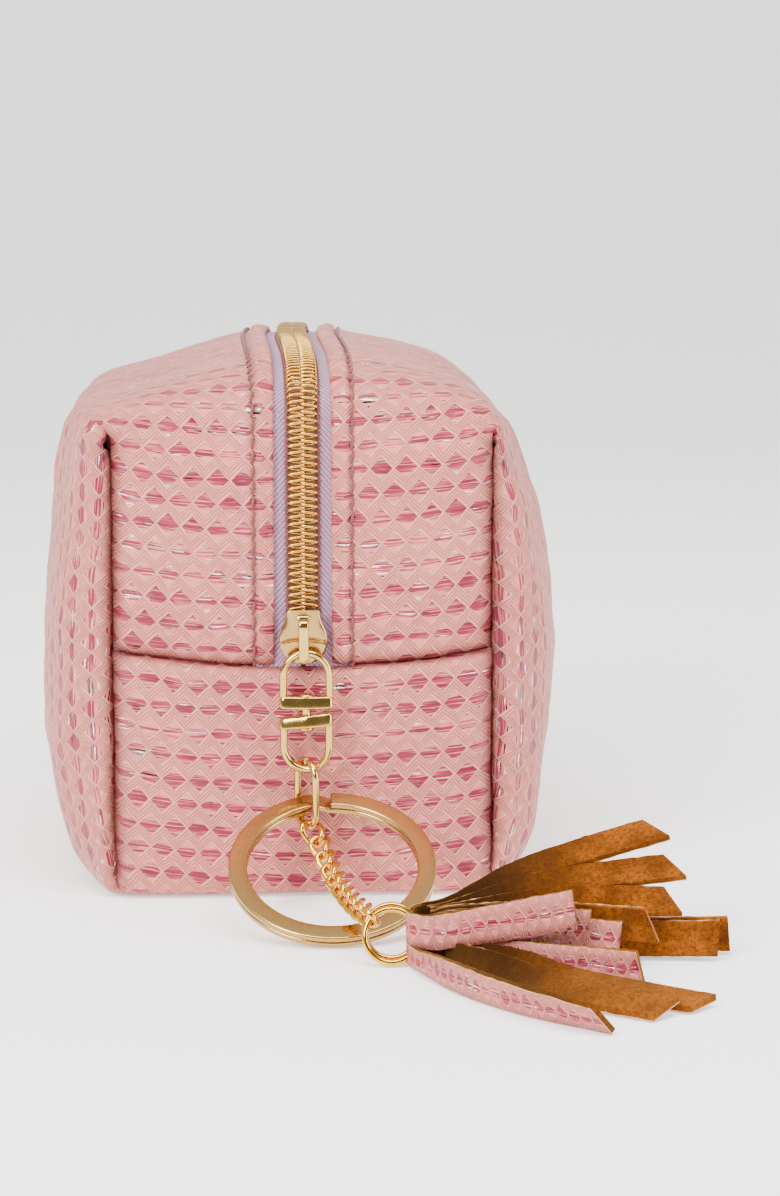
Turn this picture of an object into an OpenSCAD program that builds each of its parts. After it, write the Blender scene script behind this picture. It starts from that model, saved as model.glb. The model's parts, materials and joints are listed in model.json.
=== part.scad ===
// Boxy zip pouch with a swivel clip, split key ring, short chain and leather tassel.
// +Z is up, the slider end faces -Y, and the origin is the centre of the base on the floor.
// All sizes are in millimetres.

/* [Pouch] */
// Width of each end, from corner seam to corner seam
end_w = 64; // [56:1:72]
// Length from one end to the other
body_l = 100; // [90:1:120]
// Height of the fold along the top of each end
fold_h = 81; // [74:1:90]
// Height of the domed top at the middle of the zip
dome_h = 92; // [88:1:100]
// How far each side swells out past the corner seams
side_swell = 13; // [8:1:16]
// Height of the seam across each end
seam_h = 39; // [34:1:44]
// Thickness of the outer leather
skin_t = 1.3; // [1.0:0.1:1.6]
// Thickness of the lining cloth
lining_t = 0.6; // [0.4:0.1:0.8]

/* [Zip] */
// Width of the gap between the two leather edges
zip_gap_w = 10; // [9:0.5:12]
// Width of the closed coil
coil_w = 5.4; // [5:0.2:6]
// Thickness of the coil
coil_t = 2.2; // [1.8:0.1:2.4]
// Thickness of the zip tape
tape_t = 0.7; // [0.5:0.1:0.9]
// How far the slider runs up the front end
slider_travel = 27; // [15:1:28]

/* [Slider and swivel] */
// Length of the slider body
slider_l = 9; // [8:0.5:10]
// Width of the slider body at its shoulders
slider_w = 7.9; // [7.5:0.1:8.5]
// Wire diameter of the swivel loops
loop_wire = 1.25; // [1.0:0.05:1.4]
// Width of the swivel loops, outside
loop_w = 8.8; // [8:0.2:9.4]
// Diameter of the swivel rivet
rivet_d = 1.5; // [1.2:0.1:1.8]
// Angle at which the lower swivel loop rests
lower_loop_turn = 12; // [0:1:15]

/* [Rings and chain] */
// Wire diameter of the jump ring
jump_wire = 1.2; // [1.0:0.1:1.3]
// Outside diameter of the split key ring
ring_od = 33.5; // [32:0.5:34]
// Width of the split ring's flat band
ring_band = 3; // [2.6:0.1:3.2]
// Thickness of one coil of the split ring
ring_coil_t = 1.05; // [0.9:0.05:1.1]
// Angle between the split ring and the floor
ring_lean = 30; // [28:1:32]
// Wire diameter of the chain
chain_wire = 0.95; // [0.85:0.05:1.0]
// Outside length of a chain link
link_l = 5.6; // [5.4:0.1:5.8]
// Outside width of a chain link
link_w = 3.9; // [3.7:0.1:4.1]
// Outside diameter of the tassel ring
tassel_ring_od = 9.6; // [9.2:0.2:10]
// Wire diameter of the tassel ring
tassel_wire = 1.4; // [1.2:0.1:1.5]

/* [Tassel] */
// Width of a tassel strip
strip_w = 5.2; // [5:0.1:5.6]
// Thickness of a tassel strip
strip_t = 1.1; // [0.9:0.1:1.2]

/* [Hidden] */
LINKS = 10;
STRIPS = ["front_high", "front_low", "second_high", "second_low", "third_high", "third_low",
          "fourth_high", "fourth_low", "fifth_high", "fifth_low", "back_high", "back_low", "rear"];

half_l = body_l / 2;
half_w = end_w / 2;
mid_h = 40;
zip_half = zip_gap_w / 2;
base_half = 26;
seam_gap = 0.3;
seam_play = 0.25;
touch = 0.05;
fold_r = 4;
// The top rises from each end fold at fold_lean and meets the dome without a kink
fold_lean = 25.5;
fold_y = half_l - fold_r;
fold_z = fold_h - fold_r;
dome_y = fold_y + fold_r * sin(fold_lean);
dome_z = fold_z + fold_r * cos(fold_lean);
// Radius of the bend between each lower flap and the base
base_r = 5;

pink = [0.87, 0.66, 0.66];
lining_grey = [0.75, 0.7, 0.72];
tape_lilac = [0.72, 0.6, 0.72];
gold = [0.86, 0.72, 0.45];
suede = [0.7, 0.42, 0.1];
thread = [0.62, 0.36, 0.32];

function mix(a, b, s) = a + (b - a) * s;
function smooth(s) = let (c = min(max(s, 0), 1)) c * c * (3 - 2 * c);
function unit(v) = v / norm(v);
function bezier2(a, b, c, s) = mix(mix(a, b, s), mix(b, c, s), s);
function bezier3(a, b, c, d, s) = mix(bezier2(a, b, c, s), bezier2(b, c, d, s), s);

// ---- Pouch shell ----
// t runs from -1 at the front end to 1 at the back end; d is the depth below the outer surface.

function swell(t) = pow(max(1 - pow(abs(t), 3.2), 0), 0.45);
function side_x(t, d) = half_w + side_swell * swell(t) - d;
function top_z(t, d) = dome_z + (dome_h - dome_z) * (1 - t * t) - d;

// The sides lean in toward the top by this share of their width, least at the ends
side_taper = 0.12;
// How square the top corner of the section is: nearly square at the end folds, rounder between them
function squareness(t) = mix(10, 3.1, swell(t));
// The section of the shell's right half, from the zip at s = 0, round the top corner, down the side
// that it reaches at s = 1, and under to the base at s = 2
function section(t, s, d) =
    let (w = side_x(t, d), z = top_z(t, d), e = swell(t))
    s <= 1
        ? top_section(w, z - mid_h, squareness(t), s)
        : bezier3([w, mid_h], [w, mid_h * mix(0.05, 0.3, e)],
                  [mix(base_half, w, mix(0.95, 0.7, e)), d], [base_half, d], s - 1);
// A superellipse of half width w and height h, met by a ray that swings from the zip to the side
function top_section(w, h, n, s) =
    let (a = mix(atan2(h * pow(1 - pow(zip_half / w, n), 1 / n), zip_half), 0, s),
         r = pow(pow(cos(a) / w, n) + pow(sin(a) / h, n), -1 / n))
    [r * cos(a) * (1 - side_taper * pow(r * sin(a) / h, 2) * (10 - n) / 6.9), mid_h + r * sin(a)];
// How far the shell reaches toward the ends at height z, so that it butts on the flaps' inner faces
fold_in = fold_r - skin_t;
base_in = base_r - skin_t;
function end_y(z) = (z < base_r ? half_l - base_r + sqrt(max(base_in * base_in - pow(base_r - z, 2), 0))
    : z < fold_z ? half_l - skin_t
    : z < fold_z + fold_in * cos(fold_lean) ? fold_y + sqrt(fold_in * fold_in - pow(z - fold_z, 2))
    : fold_y + (z - fold_z) * tan(fold_lean)) - seam_play;
function shell_point(t, s, d) =
    let (p = section(t, s, d)) [p[0], end_y(section(1, s, d)[1]) * t, p[1]];
// Stations along the shell, closer together near its ends
SHELL_N = 7;
STATIONS = [for (k = [-SHELL_N:SHELL_N]) sin(90 * k / SHELL_N)];

// A sheet of cloth on the right half, between s0 and s1, and between depths d0 and d1
module shell_sheet(s0, s1, d0, d1, rows) {
    cols = len(STATIONS);
    ss = [for (k = [0:rows]) mix(s0, s1, k / rows)];
    points = [for (d = [d0, d1], s = ss, t = STATIONS) shell_point(t, s, d)];
    inner = cols * (rows + 1);
    at = function (layer, r, c) layer * inner + r * cols + c;
    faces = concat(
        [for (r = [0:rows - 1], c = [0:cols - 2]) each
            [[at(0, r, c), at(0, r, c + 1), at(0, r + 1, c)],
             [at(0, r, c + 1), at(0, r + 1, c + 1), at(0, r + 1, c)],
             [at(1, r, c), at(1, r + 1, c), at(1, r, c + 1)],
             [at(1, r, c + 1), at(1, r + 1, c), at(1, r + 1, c + 1)]]],
        [for (c = [0:cols - 2]) each
            [[at(0, 0, c), at(1, 0, c), at(0, 0, c + 1)], [at(0, 0, c + 1), at(1, 0, c), at(1, 0, c + 1)],
             [at(0, rows, c), at(0, rows, c + 1), at(1, rows, c)],
             [at(0, rows, c + 1), at(1, rows, c + 1), at(1, rows, c)]]],
        [for (r = [0:rows - 1]) each
            [[at(0, r, 0), at(0, r + 1, 0), at(1, r, 0)], [at(0, r + 1, 0), at(1, r + 1, 0), at(1, r, 0)],
             [at(0, r, cols - 1), at(1, r, cols - 1), at(0, r + 1, cols - 1)],
             [at(0, r + 1, cols - 1), at(1, r, cols - 1), at(1, r + 1, cols - 1)]]]);
    polyhedron(points, faces);
}

module top_panel() shell_sheet(0, 0.55, 0, skin_t, 6);
module side_panel() shell_sheet(0.55, 2, 0, skin_t, 12);
module top_panel_right() color(pink) top_panel();
module top_panel_left() color(pink) mirror([1, 0, 0]) top_panel();
module side_panel_right() color(pink) side_panel();
module side_panel_left() color(pink) mirror([1, 0, 0]) side_panel();

// The outline of an end, inside the corner seams
module end_outline(inset, r) {
    w = half_w - seam_gap - inset;
    hull() {
        for (x = [-1, 1]) {
            translate([x * (w - r), fold_h - inset - r]) circle(r, $fn = 48);
            translate([x * (w - r), inset + r]) circle(r, $fn = 48);
        }
    }
}

// Points of an arc about c, in the plane of Y and Z
function arc(c, r, a0, a1, n) = [for (k = [0:n]) let (a = mix(a0, a1, k / n)) c + r * [cos(a), sin(a)]];

// The front half of the zip's path, at a height h above the leather: up the end, over the fold and
// along the dome to the middle
function zip_path(h, z0) = concat(
    [[-half_l - h, z0]],
    arc([-fold_y, fold_z], fold_r + h, 180, 90 + fold_lean, 5),
    [for (k = [1:SHELL_N]) let (t = STATIONS[k], a = fold_lean * -t)
        [dome_y * t - h * sin(a), top_z(t, 0) + h * cos(a)]]);
function mirrored(path) = [for (k = [len(path) - 2:-1:0]) [-path[k][0], path[k][1]]];
function reversed(path) = [for (k = [len(path) - 1:-1:0]) path[k]];

// A band along the whole zip path, from x0 to x1 and from height h0 to height h1
module zip_band(x0, x1, h0, h1, z0) {
    outer = zip_path(h1, z0);
    inner = zip_path(h0, z0);
    translate([x0, 0, 0]) rotate([90, 0, 90]) linear_extrude(x1 - x0)
        polygon(concat(outer, mirrored(outer), reversed(concat(inner, mirrored(inner)))));
}

// Sends the children, drawn in the plane of Y and Z, through x0 to x1
module along_x(x0, x1) translate([x0, 0, 0]) rotate([90, 0, 90]) linear_extrude(x1 - x0) children();

module upper_flap_profile(d0, d1) {
    fold_c = [-fold_y, fold_z];
    polygon(concat(
        [[-half_l + d0, seam_h + touch]],
        arc(fold_c, fold_r - d0, 180, 90 + fold_lean, 8),
        arc(fold_c, fold_r - d1, 90 + fold_lean, 180, 8),
        [[-half_l + d1, seam_h + touch]]));
}
module lower_flap_profile(d0, d1) {
    c = [-half_l + base_r, base_r];
    polygon(concat(
        [[-half_l + d0, seam_h - touch]],
        arc(c, base_r - d0, 180, 270, 8),
        arc(c, base_r - d1, 270, 180, 8),
        [[-half_l + d1, seam_h - touch]]));
}
module upper_flap() {
    intersection() {
        along_x(zip_half, half_w) upper_flap_profile(0, skin_t);
        rotate([90, 0, 0]) translate([0, 0, -body_l]) linear_extrude(2 * body_l) end_outline(0, 7);
    }
}
module lower_flap() {
    intersection() {
        along_x(-half_w, half_w) lower_flap_profile(0, skin_t);
        rotate([90, 0, 0]) translate([0, 0, -body_l]) linear_extrude(2 * body_l) end_outline(0, 7);
    }
}
module front_flap_right() color(pink) upper_flap();
module front_flap_left() color(pink) mirror([1, 0, 0]) upper_flap();
module front_flap_lower() color(pink) lower_flap();
module back_flap_right() color(pink) mirror([0, 1, 0]) upper_flap();
module back_flap_left() color(pink) mirror([1, 0, 0]) mirror([0, 1, 0]) upper_flap();
module back_flap_lower() color(pink) mirror([0, 1, 0]) lower_flap();

module base_panel() {
    color(pink) translate([-base_half + touch, -half_l + base_r + touch, 0])
        cube([2 * (base_half - touch), body_l - 2 * base_r - 2 * touch, skin_t]);
}

// The lining hangs just inside the leather
lining_d = skin_t + 0.4;
module lining_side() shell_sheet(0.1, 1.94, lining_d, lining_d + lining_t, 16);
module lining_right() color(lining_grey) lining_side();
module lining_left() color(lining_grey) mirror([1, 0, 0]) lining_side();
module lining_end() {
    difference() {
        intersection() {
            translate([-half_w, -half_l + 2.6, 0]) cube([end_w, lining_t, dome_h]);
            rotate([90, 0, 0]) translate([0, 0, -body_l]) linear_extrude(2 * body_l) end_outline(5, 5);
        }
        // cut away behind the zip, so that the slider can pass
        translate([-tape_edge - 0.3, -half_l, seam_h - 1.5]) cube([2 * tape_edge + 0.6, 5, dome_h]);
    }
}
module lining_front() color(lining_grey) lining_end();
module lining_back() color(lining_grey) mirror([0, 1, 0]) lining_end();
module lining_base() {
    color(lining_grey) translate([-base_half + 3, -half_l + 6, lining_d])
        cube([2 * base_half - 6, body_l - 12, lining_t]);
}

// ---- Zip ----
zip_z0 = seam_h + 0.4;
coil_gap = 1.0;
tape_edge = zip_half + 4;
tape_top = -skin_t - 0.25;
module zip_tape() zip_band(coil_gap / 2, tape_edge, tape_top - tape_t, tape_top, zip_z0);
module zip_tape_right() color(tape_lilac) zip_tape();
module zip_tape_left() color(tape_lilac) mirror([1, 0, 0]) zip_tape();
coil_low = tape_top + touch;
module zip_coil() zip_band(coil_gap / 2, coil_w / 2, coil_low, coil_low + coil_t, zip_z0);
module zip_coil_right() color(gold) zip_coil();
module zip_coil_left() color(gold) mirror([1, 0, 0]) zip_coil();
stitch_x = 7.9;
module topstitch() zip_band(stitch_x - 0.2, stitch_x + 0.2, touch, 0.3, zip_z0);
module topstitch_right() color(thread) topstitch();
module topstitch_left() color(thread) mirror([1, 0, 0]) topstitch();

// ---- Slider ----
slider_z = seam_h + 0.4;
plate_t = 1.1;
coil_face = half_l + coil_low + coil_t;
plate_y = -coil_face - 0.3 - plate_t;
slider_back_y = -half_l - tape_top + tape_t + 0.3;
waist_w = 6.2;
// The slider seen from the front: square top, waist, shoulders and round nose
module slider_outline() {
    r = slider_w / 2;
    nose_z = 4.4;
    intersection() {
        union() {
            translate([0, nose_z]) circle(r, $fn = 64);
            polygon([[-r, nose_z], [-waist_w / 2, slider_l - 2.8], [-2.9, slider_l],
                     [2.9, slider_l], [waist_w / 2, slider_l - 2.8], [r, nose_z]]);
        }
        translate([-r, 0]) square([slider_w, slider_l]);
    }
}
module slider_body() {
    color(gold) translate([0, 0, slider_z]) {
        translate([0, plate_y + plate_t, 0]) rotate([90, 0, 0]) linear_extrude(plate_t) slider_outline();
        translate([0, slider_back_y + 0.9, 0]) rotate([90, 0, 0]) linear_extrude(0.9) slider_outline();
        // the guide that parts the two coils
        translate([-0.4, plate_y + plate_t - 0.1, 1.2])
            cube([0.8, slider_back_y - plate_y - plate_t + 0.2, 3]);
    }
}
bail_w = 1.6;
bail_reach = 3.8;
bail_low = slider_z + 1.0;
bail_high = slider_z + 8.4;
bail_bar = 1.0;
module bail_outline(inset) {
    r = 1.7 - inset;
    hull() {
        translate([plate_y - bail_reach + 1.7, bail_low + 1.7]) circle(r, $fn = 48);
        translate([plate_y - bail_reach + 1.7, bail_high - 1.7]) circle(r, $fn = 48);
        translate([plate_y - 0.1 - inset, bail_low + inset]) square([0.1, bail_high - bail_low - 2 * inset]);
    }
}
module slider_bail() {
    color(gold) difference() {
        along_x(-bail_w / 2, bail_w / 2) bail_outline(0);
        along_x(-bail_w, bail_w) union() {
            bail_outline(bail_bar);
            translate([plate_y - 1.2, bail_low + bail_bar]) square([2, bail_high - bail_low - 2 * bail_bar]);
        }
    }
}

// ---- Swivel ----
swivel_y = plate_y - 1.3 - loop_wire / 2;
loop_top_z = bail_low + bail_bar + 0.15 + loop_wire / 2;
leg_x = (loop_w - loop_wire) / 2;
bar_t = 1.8;
bar_deep = 2.6;
upper_bar_z = loop_top_z - 9.1;
lower_bar_z = upper_bar_z - 1.2 - bar_t;
swivel_axis = [0.4, swivel_y];

module bend(r, wire, a) rotate_extrude(angle = a, $fn = 96) translate([r, 0]) circle(wire / 2, $fn = 32);

// One loop, with its bar at the bottom and its bend at the top, about the rivet's axis
module swivel_loop(leg) {
    difference() {
        union() {
            translate([0, 0, leg]) rotate([90, 0, 0]) bend(leg_x, loop_wire, 180);
            for (x = [-leg_x, leg_x]) translate([x, 0, bar_t / 2]) cylinder(leg - bar_t / 2, d = loop_wire, $fn = 32);
            translate([-loop_w / 2, -bar_deep / 2, 0]) cube([loop_w, bar_deep, bar_t]);
        }
        translate([0, 0, -1]) cylinder(bar_t + 2, d = rivet_d + 0.3, $fn = 48);
    }
}
upper_leg = loop_top_z - leg_x - upper_bar_z;
module swivel_upper_loop() {
    color(gold) translate([swivel_axis[0], swivel_axis[1], upper_bar_z]) swivel_loop(upper_leg);
}
lower_leg = 5.3;
module swivel_lower_loop() {
    color(gold) translate([swivel_axis[0], swivel_axis[1], lower_bar_z + bar_t])
        rotate([0, 0, -lower_loop_turn]) mirror([0, 0, 1]) swivel_loop(lower_leg);
}
module swivel_rivet() {
    head = 2.6;
    low = lower_bar_z - 0.2;
    high = upper_bar_z + bar_t + 0.05;
    color(gold) translate([swivel_axis[0], swivel_axis[1], 0]) {
        translate([0, 0, low]) cylinder(high - low, d = rivet_d, $fn = 48);
        translate([0, 0, low - 0.7]) cylinder(0.7, d1 = 1.6, d2 = head, $fn = 48);
        translate([0, 0, high]) cylinder(0.6, d1 = head, d2 = 1.6, $fn = 48);
    }
}

// ---- Jump ring ----
lower_bend_z = lower_bar_z + bar_t - lower_leg - leg_x;
jump_half_w = 2.9;
jump_turn = 30;
jump_top_z = lower_bend_z + loop_wire / 2 + 0.15 + jump_wire / 2;
jump_low_z = 13.05;
jump_l = jump_top_z - jump_low_z;
jump_at = swivel_axis;
// An oval wire ring in the plane of Y and Z, from z = 0 down to z = -long
module oval_ring(half, long, wire) {
    straight = long - 2 * half;
    translate([0, 0, -half]) rotate([0, 90, 0]) rotate([0, 0, 90]) bend(half, wire, 180);
    translate([0, 0, half - long]) rotate([0, 90, 0]) rotate([0, 0, -90]) bend(half, wire, 180);
    for (y = [-half, half]) translate([0, y, half - long]) cylinder(straight, d = wire, $fn = 32);
}
module jump_ring() {
    color(gold) translate([jump_at[0], jump_at[1], jump_top_z]) rotate([0, 0, jump_turn])
        oval_ring(jump_half_w, jump_l, jump_wire);
}

// ---- Split ring ----
ring_gap = 0.06;
ring_r = ring_od / 2;
ring_mid_r = ring_r - ring_band / 2;
ring_half_t = ring_coil_t + ring_gap / 2;
ring_x = 4.3;
ring_z = ring_r * sin(ring_lean) + ring_half_t * cos(ring_lean);
ring_y = swivel_y + 0.15 - 0.967 * ring_mid_r * cos(ring_lean);
ring_step = 12;
// One flat coil, cut open at the top of the ring for ring_step degrees
module ring_coil(a0, a1) {
    rotate([0, 0, a0]) rotate_extrude(angle = a1 - a0, $fn = 180)
        translate([ring_r - ring_band, 0]) square([ring_band, ring_coil_t]);
}
module split_ring() {
    color(gold) translate([ring_x, ring_y, ring_z]) rotate([ring_lean, 0, 0]) {
        translate([0, 0, ring_gap / 2]) ring_coil(90 + ring_step, 450);
        translate([0, 0, -ring_gap / 2 - ring_coil_t]) ring_coil(90, 450 - ring_step);
        // the wire steps from one coil to the other here
        translate([0, 0, -ring_gap]) ring_coil_web();
    }
}
module ring_coil_web() {
    rotate([0, 0, 93 + ring_step]) rotate_extrude(angle = 354 - 2 * ring_step, $fn = 180)
        translate([ring_mid_r - 0.6, 0]) square([1.2, 2 * ring_gap]);
}

// ---- Chain ----
pitch = link_l - 2 * chain_wire;
// Where the first link hooks on the jump ring, as an angle below the ring's front side
hook_angle = 50;
hook_dir = [cos(hook_angle) * sin(jump_turn), -cos(hook_angle) * cos(jump_turn), -sin(hook_angle)];
jump_bend = [jump_at[0], jump_at[1], jump_low_z + jump_half_w];
// The chain's line, from the jump ring to the tassel ring
chain_start = jump_bend + (jump_half_w - jump_wire / 2 - 0.03) * hook_dir;
chain_end = [9.92, -88.95, 7.16];
chain_dip_1 = chain_start + 9 * hook_dir;
chain_dip_2 = [5.6, -76.5, 6.2];
function chain_at(s) = bezier3(chain_start, chain_dip_1, chain_dip_2, chain_end, s);
// The chain is walked in short steps, and a hook point is set down every pitch
WALK = 400;
walk = [for (i = 0, s = 0, l = 0; i <= WALK; l = l + norm(chain_at((i + 1) / WALK) - chain_at(i / WALK)),
        i = i + 1, s = i / WALK) [s, l]];
function chain_s(l) = let (k = [for (w = walk) if (w[1] <= l) 1]) walk[len(k) - 1][0];
chain_len = walk[WALK][1];
function hook(i) = chain_at(chain_s(min(i * chain_len / LINKS, chain_len)));

// A rotation that takes X along d and keeps Y level
function look(d) = let (f = unit(d), side = unit(cross([0, 0, 1], f)), up = cross(f, side))
    [[f[0], side[0], up[0], 0], [f[1], side[1], up[1], 0], [f[2], side[2], up[2], 0], [0, 0, 0, 1]];

// A wire swept round a closed curve: points(a) for a from 0 to 360, ring by ring
module closed_wire(curve, wire, rings, sides) {
    frame = function (a) let (
        f = unit(curve(a + 0.5) - curve(a - 0.5)),
        out = unit(curve(a) - f * (curve(a) * f)),
        up = cross(f, out)) [out, up];
    points = [for (i = [0:rings - 1], k = [0:sides - 1])
        let (a = 360 * i / rings, b = 360 * k / sides, f = frame(a))
        curve(a) + (f[0] * cos(b) + f[1] * sin(b)) * wire / 2];
    at = function (i, k) (i % rings) * sides + (k % sides);
    polyhedron(points, [for (i = [0:rings - 1], k = [0:sides - 1]) each
        [[at(i, k), at(i + 1, k), at(i, k + 1)], [at(i, k + 1), at(i + 1, k), at(i + 1, k + 1)]]]);
}
// A curb link: an oval, twisted so that its two ends lie at right angles
link_a = (link_l - chain_wire) / 2;
link_b = (link_w - chain_wire) / 2;
link_c = link_b / 2;
module curb_link() {
    closed_wire(function (a) [link_a * cos(a), link_b * sin(a), link_c * sin(2 * a)], chain_wire, 24, 8);
}
// The links roll a little from one to the next, so that both end links cross their rings' wires
function link_roll(i) = mix(45, 90, (i - 1) / (LINKS - 1));
module chain_link(i) {
    a = hook(i - 1);
    b = hook(i);
    color(gold) translate((a + b) / 2) multmatrix(look(b - a)) rotate([link_roll(i), 0, 0]) curb_link();
}

// ---- Tassel ring ----
tassel_ring_at = [12.8, -89.2, 4.65];
tassel_ring_lean = 20;
tassel_ring_r = (tassel_ring_od - tassel_wire) / 2;
module tassel_hoop(wire) {
    translate(tassel_ring_at) rotate([90 - tassel_ring_lean, 0, 0])
        rotate_extrude($fn = 96) translate([tassel_ring_r, 0]) circle(wire / 2, $fn = 32);
}
module tassel_ring() color(gold) tassel_hoop(tassel_wire);

// ---- Tassel ----
fold_at = [17, -89.2, 0];
fold_half = 4.7;
fold_nose = 1.9;
fold_back = 5.6;
fold_top = 8.4;
// The leather doubled back round the ring, seen from above, with its nose toward -X
module fold_outline(inset) {
    a = fold_back + fold_nose - inset;
    b = fold_half - inset;
    polygon(concat([for (k = [0:16]) let (q = 90 + 180 * k / 16) [fold_back + a * cos(q), b * sin(q)]]));
}
module tassel_fold() {
    color(pink) difference() {
        translate([fold_at[0], fold_at[1], 0.2]) linear_extrude(fold_top) fold_outline(0);
        translate([fold_at[0], fold_at[1], -1]) linear_extrude(fold_top + 3) union() {
            fold_outline(strip_t);
            translate([fold_back - 0.5, strip_t - fold_half]) square([2, 2 * (fold_half - strip_t)]);
        }
        // the ring passes through the leather here, with room to turn
        tassel_hoop(tassel_wire + 1.1);
    }
}

// A strip follows a curve from its root through a bend point to its tip. Its width starts upright
// and turns to the direction given for the tip.
function strip_frame(p, s) = let (
    c = bezier2(p[0], p[1], p[2], s),
    f = unit(mix(p[1] - p[0], p[2] - p[1], s)),
    w0 = mix([0, 0, 1], p[3], smooth(s)),
    w = unit(w0 - f * (w0 * f)))
    [c, w, cross(w, f)];
module strip(p) {
    rings = 10;
    half_t = strip_t / 2;
    points = [for (i = [0:rings])
        let (s = i / rings, f = strip_frame(p, s), half = mix(2.1, strip_w / 2, smooth(s / 0.8)))
        for (q = [[-1, -1], [1, -1], [1, 1], [-1, 1]]) f[0] + f[1] * q[0] * half + f[2] * q[1] * half_t];
    sides = [for (i = [0:rings - 1], k = [0:3]) let (a = 4 * i + k, b = 4 * i + (k + 1) % 4) each
        [[a, b, a + 4], [b, b + 4, a + 4]]];
    n = 4 * rings;
    color(suede) polyhedron(points, concat(sides,
        [[0, 2, 1], [0, 3, 2]], [[n, n + 1, n + 2], [n, n + 2, n + 3]]));
}
root_x = 23.2;
high = 6.9;
low = 2.25;
layer = strip_t + 0.2;
function root(n, z) = [root_x, fold_at[1] - fold_half + strip_t / 2 + n * layer, z];
// Root, bend point, tip, and the width's direction at the tip
STRIP_PATHS = [
    [root(0, high), [31, -94.8, 8.4], [40, -98.3, 10.8], [0, 0, 1]],
    [[20.5, -94.7, 2.5], [24.5, -110, 2.7], [41.2, -126, 2.6], [-0.35, -0.45, 0.8]],
    [root(1, high), [32, -93, 7.4], [42.5, -95.7, 7.2], [0, 0, 1]],
    [root(0, low), [34, -111, 3.2], [53, -119.8, 1.5], [0.35, 0.85, 0.3]],
    [root(2, high), [34, -92, 6.3], [47.5, -94, 4.9], [0, 0, 1]],
    [root(2, low), [36, -96, 2.8], [49.3, -104, 2.9], [-0.15, 0, 1]],
    [root(3, high), [36, -90, 7.4], [52.4, -93.2, 6.6], [-0.36, 0, 0.93]],
    [root(1, low), [43, -104, 3.2], [57, -115.5, 1.1], [0.3, 0.9, 0.12]],
    [root(4, high), [38, -86.3, 9], [56.2, -89, 9.2], [-0.65, 0, 0.75]],
    [root(3.5, low), [42, -87.6, 3], [63.2, -90, 3.6], [0, 0, 1]],
    [root(5, high), [38, -83.5, 11.5], [57, -85, 13.6], [-0.6, 0.1, 0.77]],
    [root(5, low), [42, -84.5, 3], [65.6, -86.3, 3.2], [0, 0, 1]],
    [root(6, high), [36, -79.5, 13.5], [54.6, -81, 18.8], [-0.75, 0.3, 0.6]]];
module tassel_strip(k) strip(STRIP_PATHS[k]);

base_panel();
side_panel_left();
side_panel_right();
top_panel_left();
top_panel_right();
front_flap_left();
front_flap_right();
front_flap_lower();
back_flap_left();
back_flap_right();
back_flap_lower();
lining_left();
lining_right();
lining_front();
lining_back();
lining_base();
zip_tape_left();
zip_tape_right();
zip_coil_left();
zip_coil_right();
topstitch_left();
topstitch_right();
slider_body();
slider_bail();
swivel_upper_loop();
swivel_rivet();
swivel_lower_loop();
jump_ring();
split_ring();
for (i = [1:LINKS]) chain_link(i);
tassel_ring();
tassel_fold();
for (k = [0:len(STRIPS) - 1])
    tassel_strip(k);
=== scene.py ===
"""The looks of a boxy zip pouch with a swivel clip, split ring, curb chain and leather tassel.

Points are in millimetres until make_mesh writes them in metres. The camera and lights are in metres.
"""
import json
import math

import bpy
import numpy as np
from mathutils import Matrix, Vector


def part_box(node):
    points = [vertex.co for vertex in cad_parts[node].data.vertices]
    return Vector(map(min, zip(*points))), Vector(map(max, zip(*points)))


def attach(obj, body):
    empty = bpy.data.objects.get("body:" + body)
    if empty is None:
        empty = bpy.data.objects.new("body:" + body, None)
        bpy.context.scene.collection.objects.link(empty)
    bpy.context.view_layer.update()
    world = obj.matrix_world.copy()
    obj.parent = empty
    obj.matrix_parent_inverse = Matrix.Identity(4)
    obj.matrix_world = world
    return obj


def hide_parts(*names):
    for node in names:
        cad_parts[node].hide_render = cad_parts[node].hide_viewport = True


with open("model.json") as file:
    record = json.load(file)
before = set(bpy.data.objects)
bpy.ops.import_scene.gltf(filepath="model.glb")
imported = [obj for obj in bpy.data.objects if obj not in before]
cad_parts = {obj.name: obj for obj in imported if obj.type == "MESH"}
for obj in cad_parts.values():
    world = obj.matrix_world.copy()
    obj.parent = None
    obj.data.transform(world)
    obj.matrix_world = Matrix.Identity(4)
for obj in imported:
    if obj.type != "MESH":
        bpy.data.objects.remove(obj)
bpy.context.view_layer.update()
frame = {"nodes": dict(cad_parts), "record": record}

MM = 0.001


def box(node):
    """A CAD node's lowest and highest corners, in millimetres."""
    return [np.array(corner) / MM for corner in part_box(node)]


def middle(node):
    low, high = box(node)
    return (low + high) / 2


# ---------------------------------------------------------------- curves and grids

def unit(v):
    v = np.asarray(v, float)
    return v / np.maximum(np.linalg.norm(v, axis=-1, keepdims=True), 1e-9)


def smooth(s):
    s = np.clip(s, 0, 1)
    return s * s * (3 - 2 * s)


def through(points, per=24):
    """A dense smooth line through the points."""
    p = np.array(points, float)
    p = np.vstack([2 * p[0] - p[1], p, 2 * p[-1] - p[-2]])
    out = []
    for i in range(1, len(p) - 2):
        a, b, c, d = p[i - 1:i + 3]
        for s in np.arange(per) / per:
            out.append(0.5 * (2 * b + (c - a) * s + (2 * a - 5 * b + 4 * c - d) * s * s
                              + (3 * b - a - 3 * c + d) * s ** 3))
    out.append(p[-2])
    return np.array(out)


def lengths(p):
    return np.concatenate([[0], np.cumsum(np.linalg.norm(np.diff(p, axis=0), axis=1))])


def run_length(p, axis):
    """The length along each line of a grid up to each of its points."""
    steps = np.linalg.norm(np.diff(p, axis=axis), axis=2)
    return np.pad(np.cumsum(steps, axis), ((1, 0), (0, 0)) if axis == 0 else ((0, 0), (1, 0)))


def circle(n):
    """n angles round a circle."""
    return np.linspace(0, 2 * math.pi, n, endpoint=False)


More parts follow.
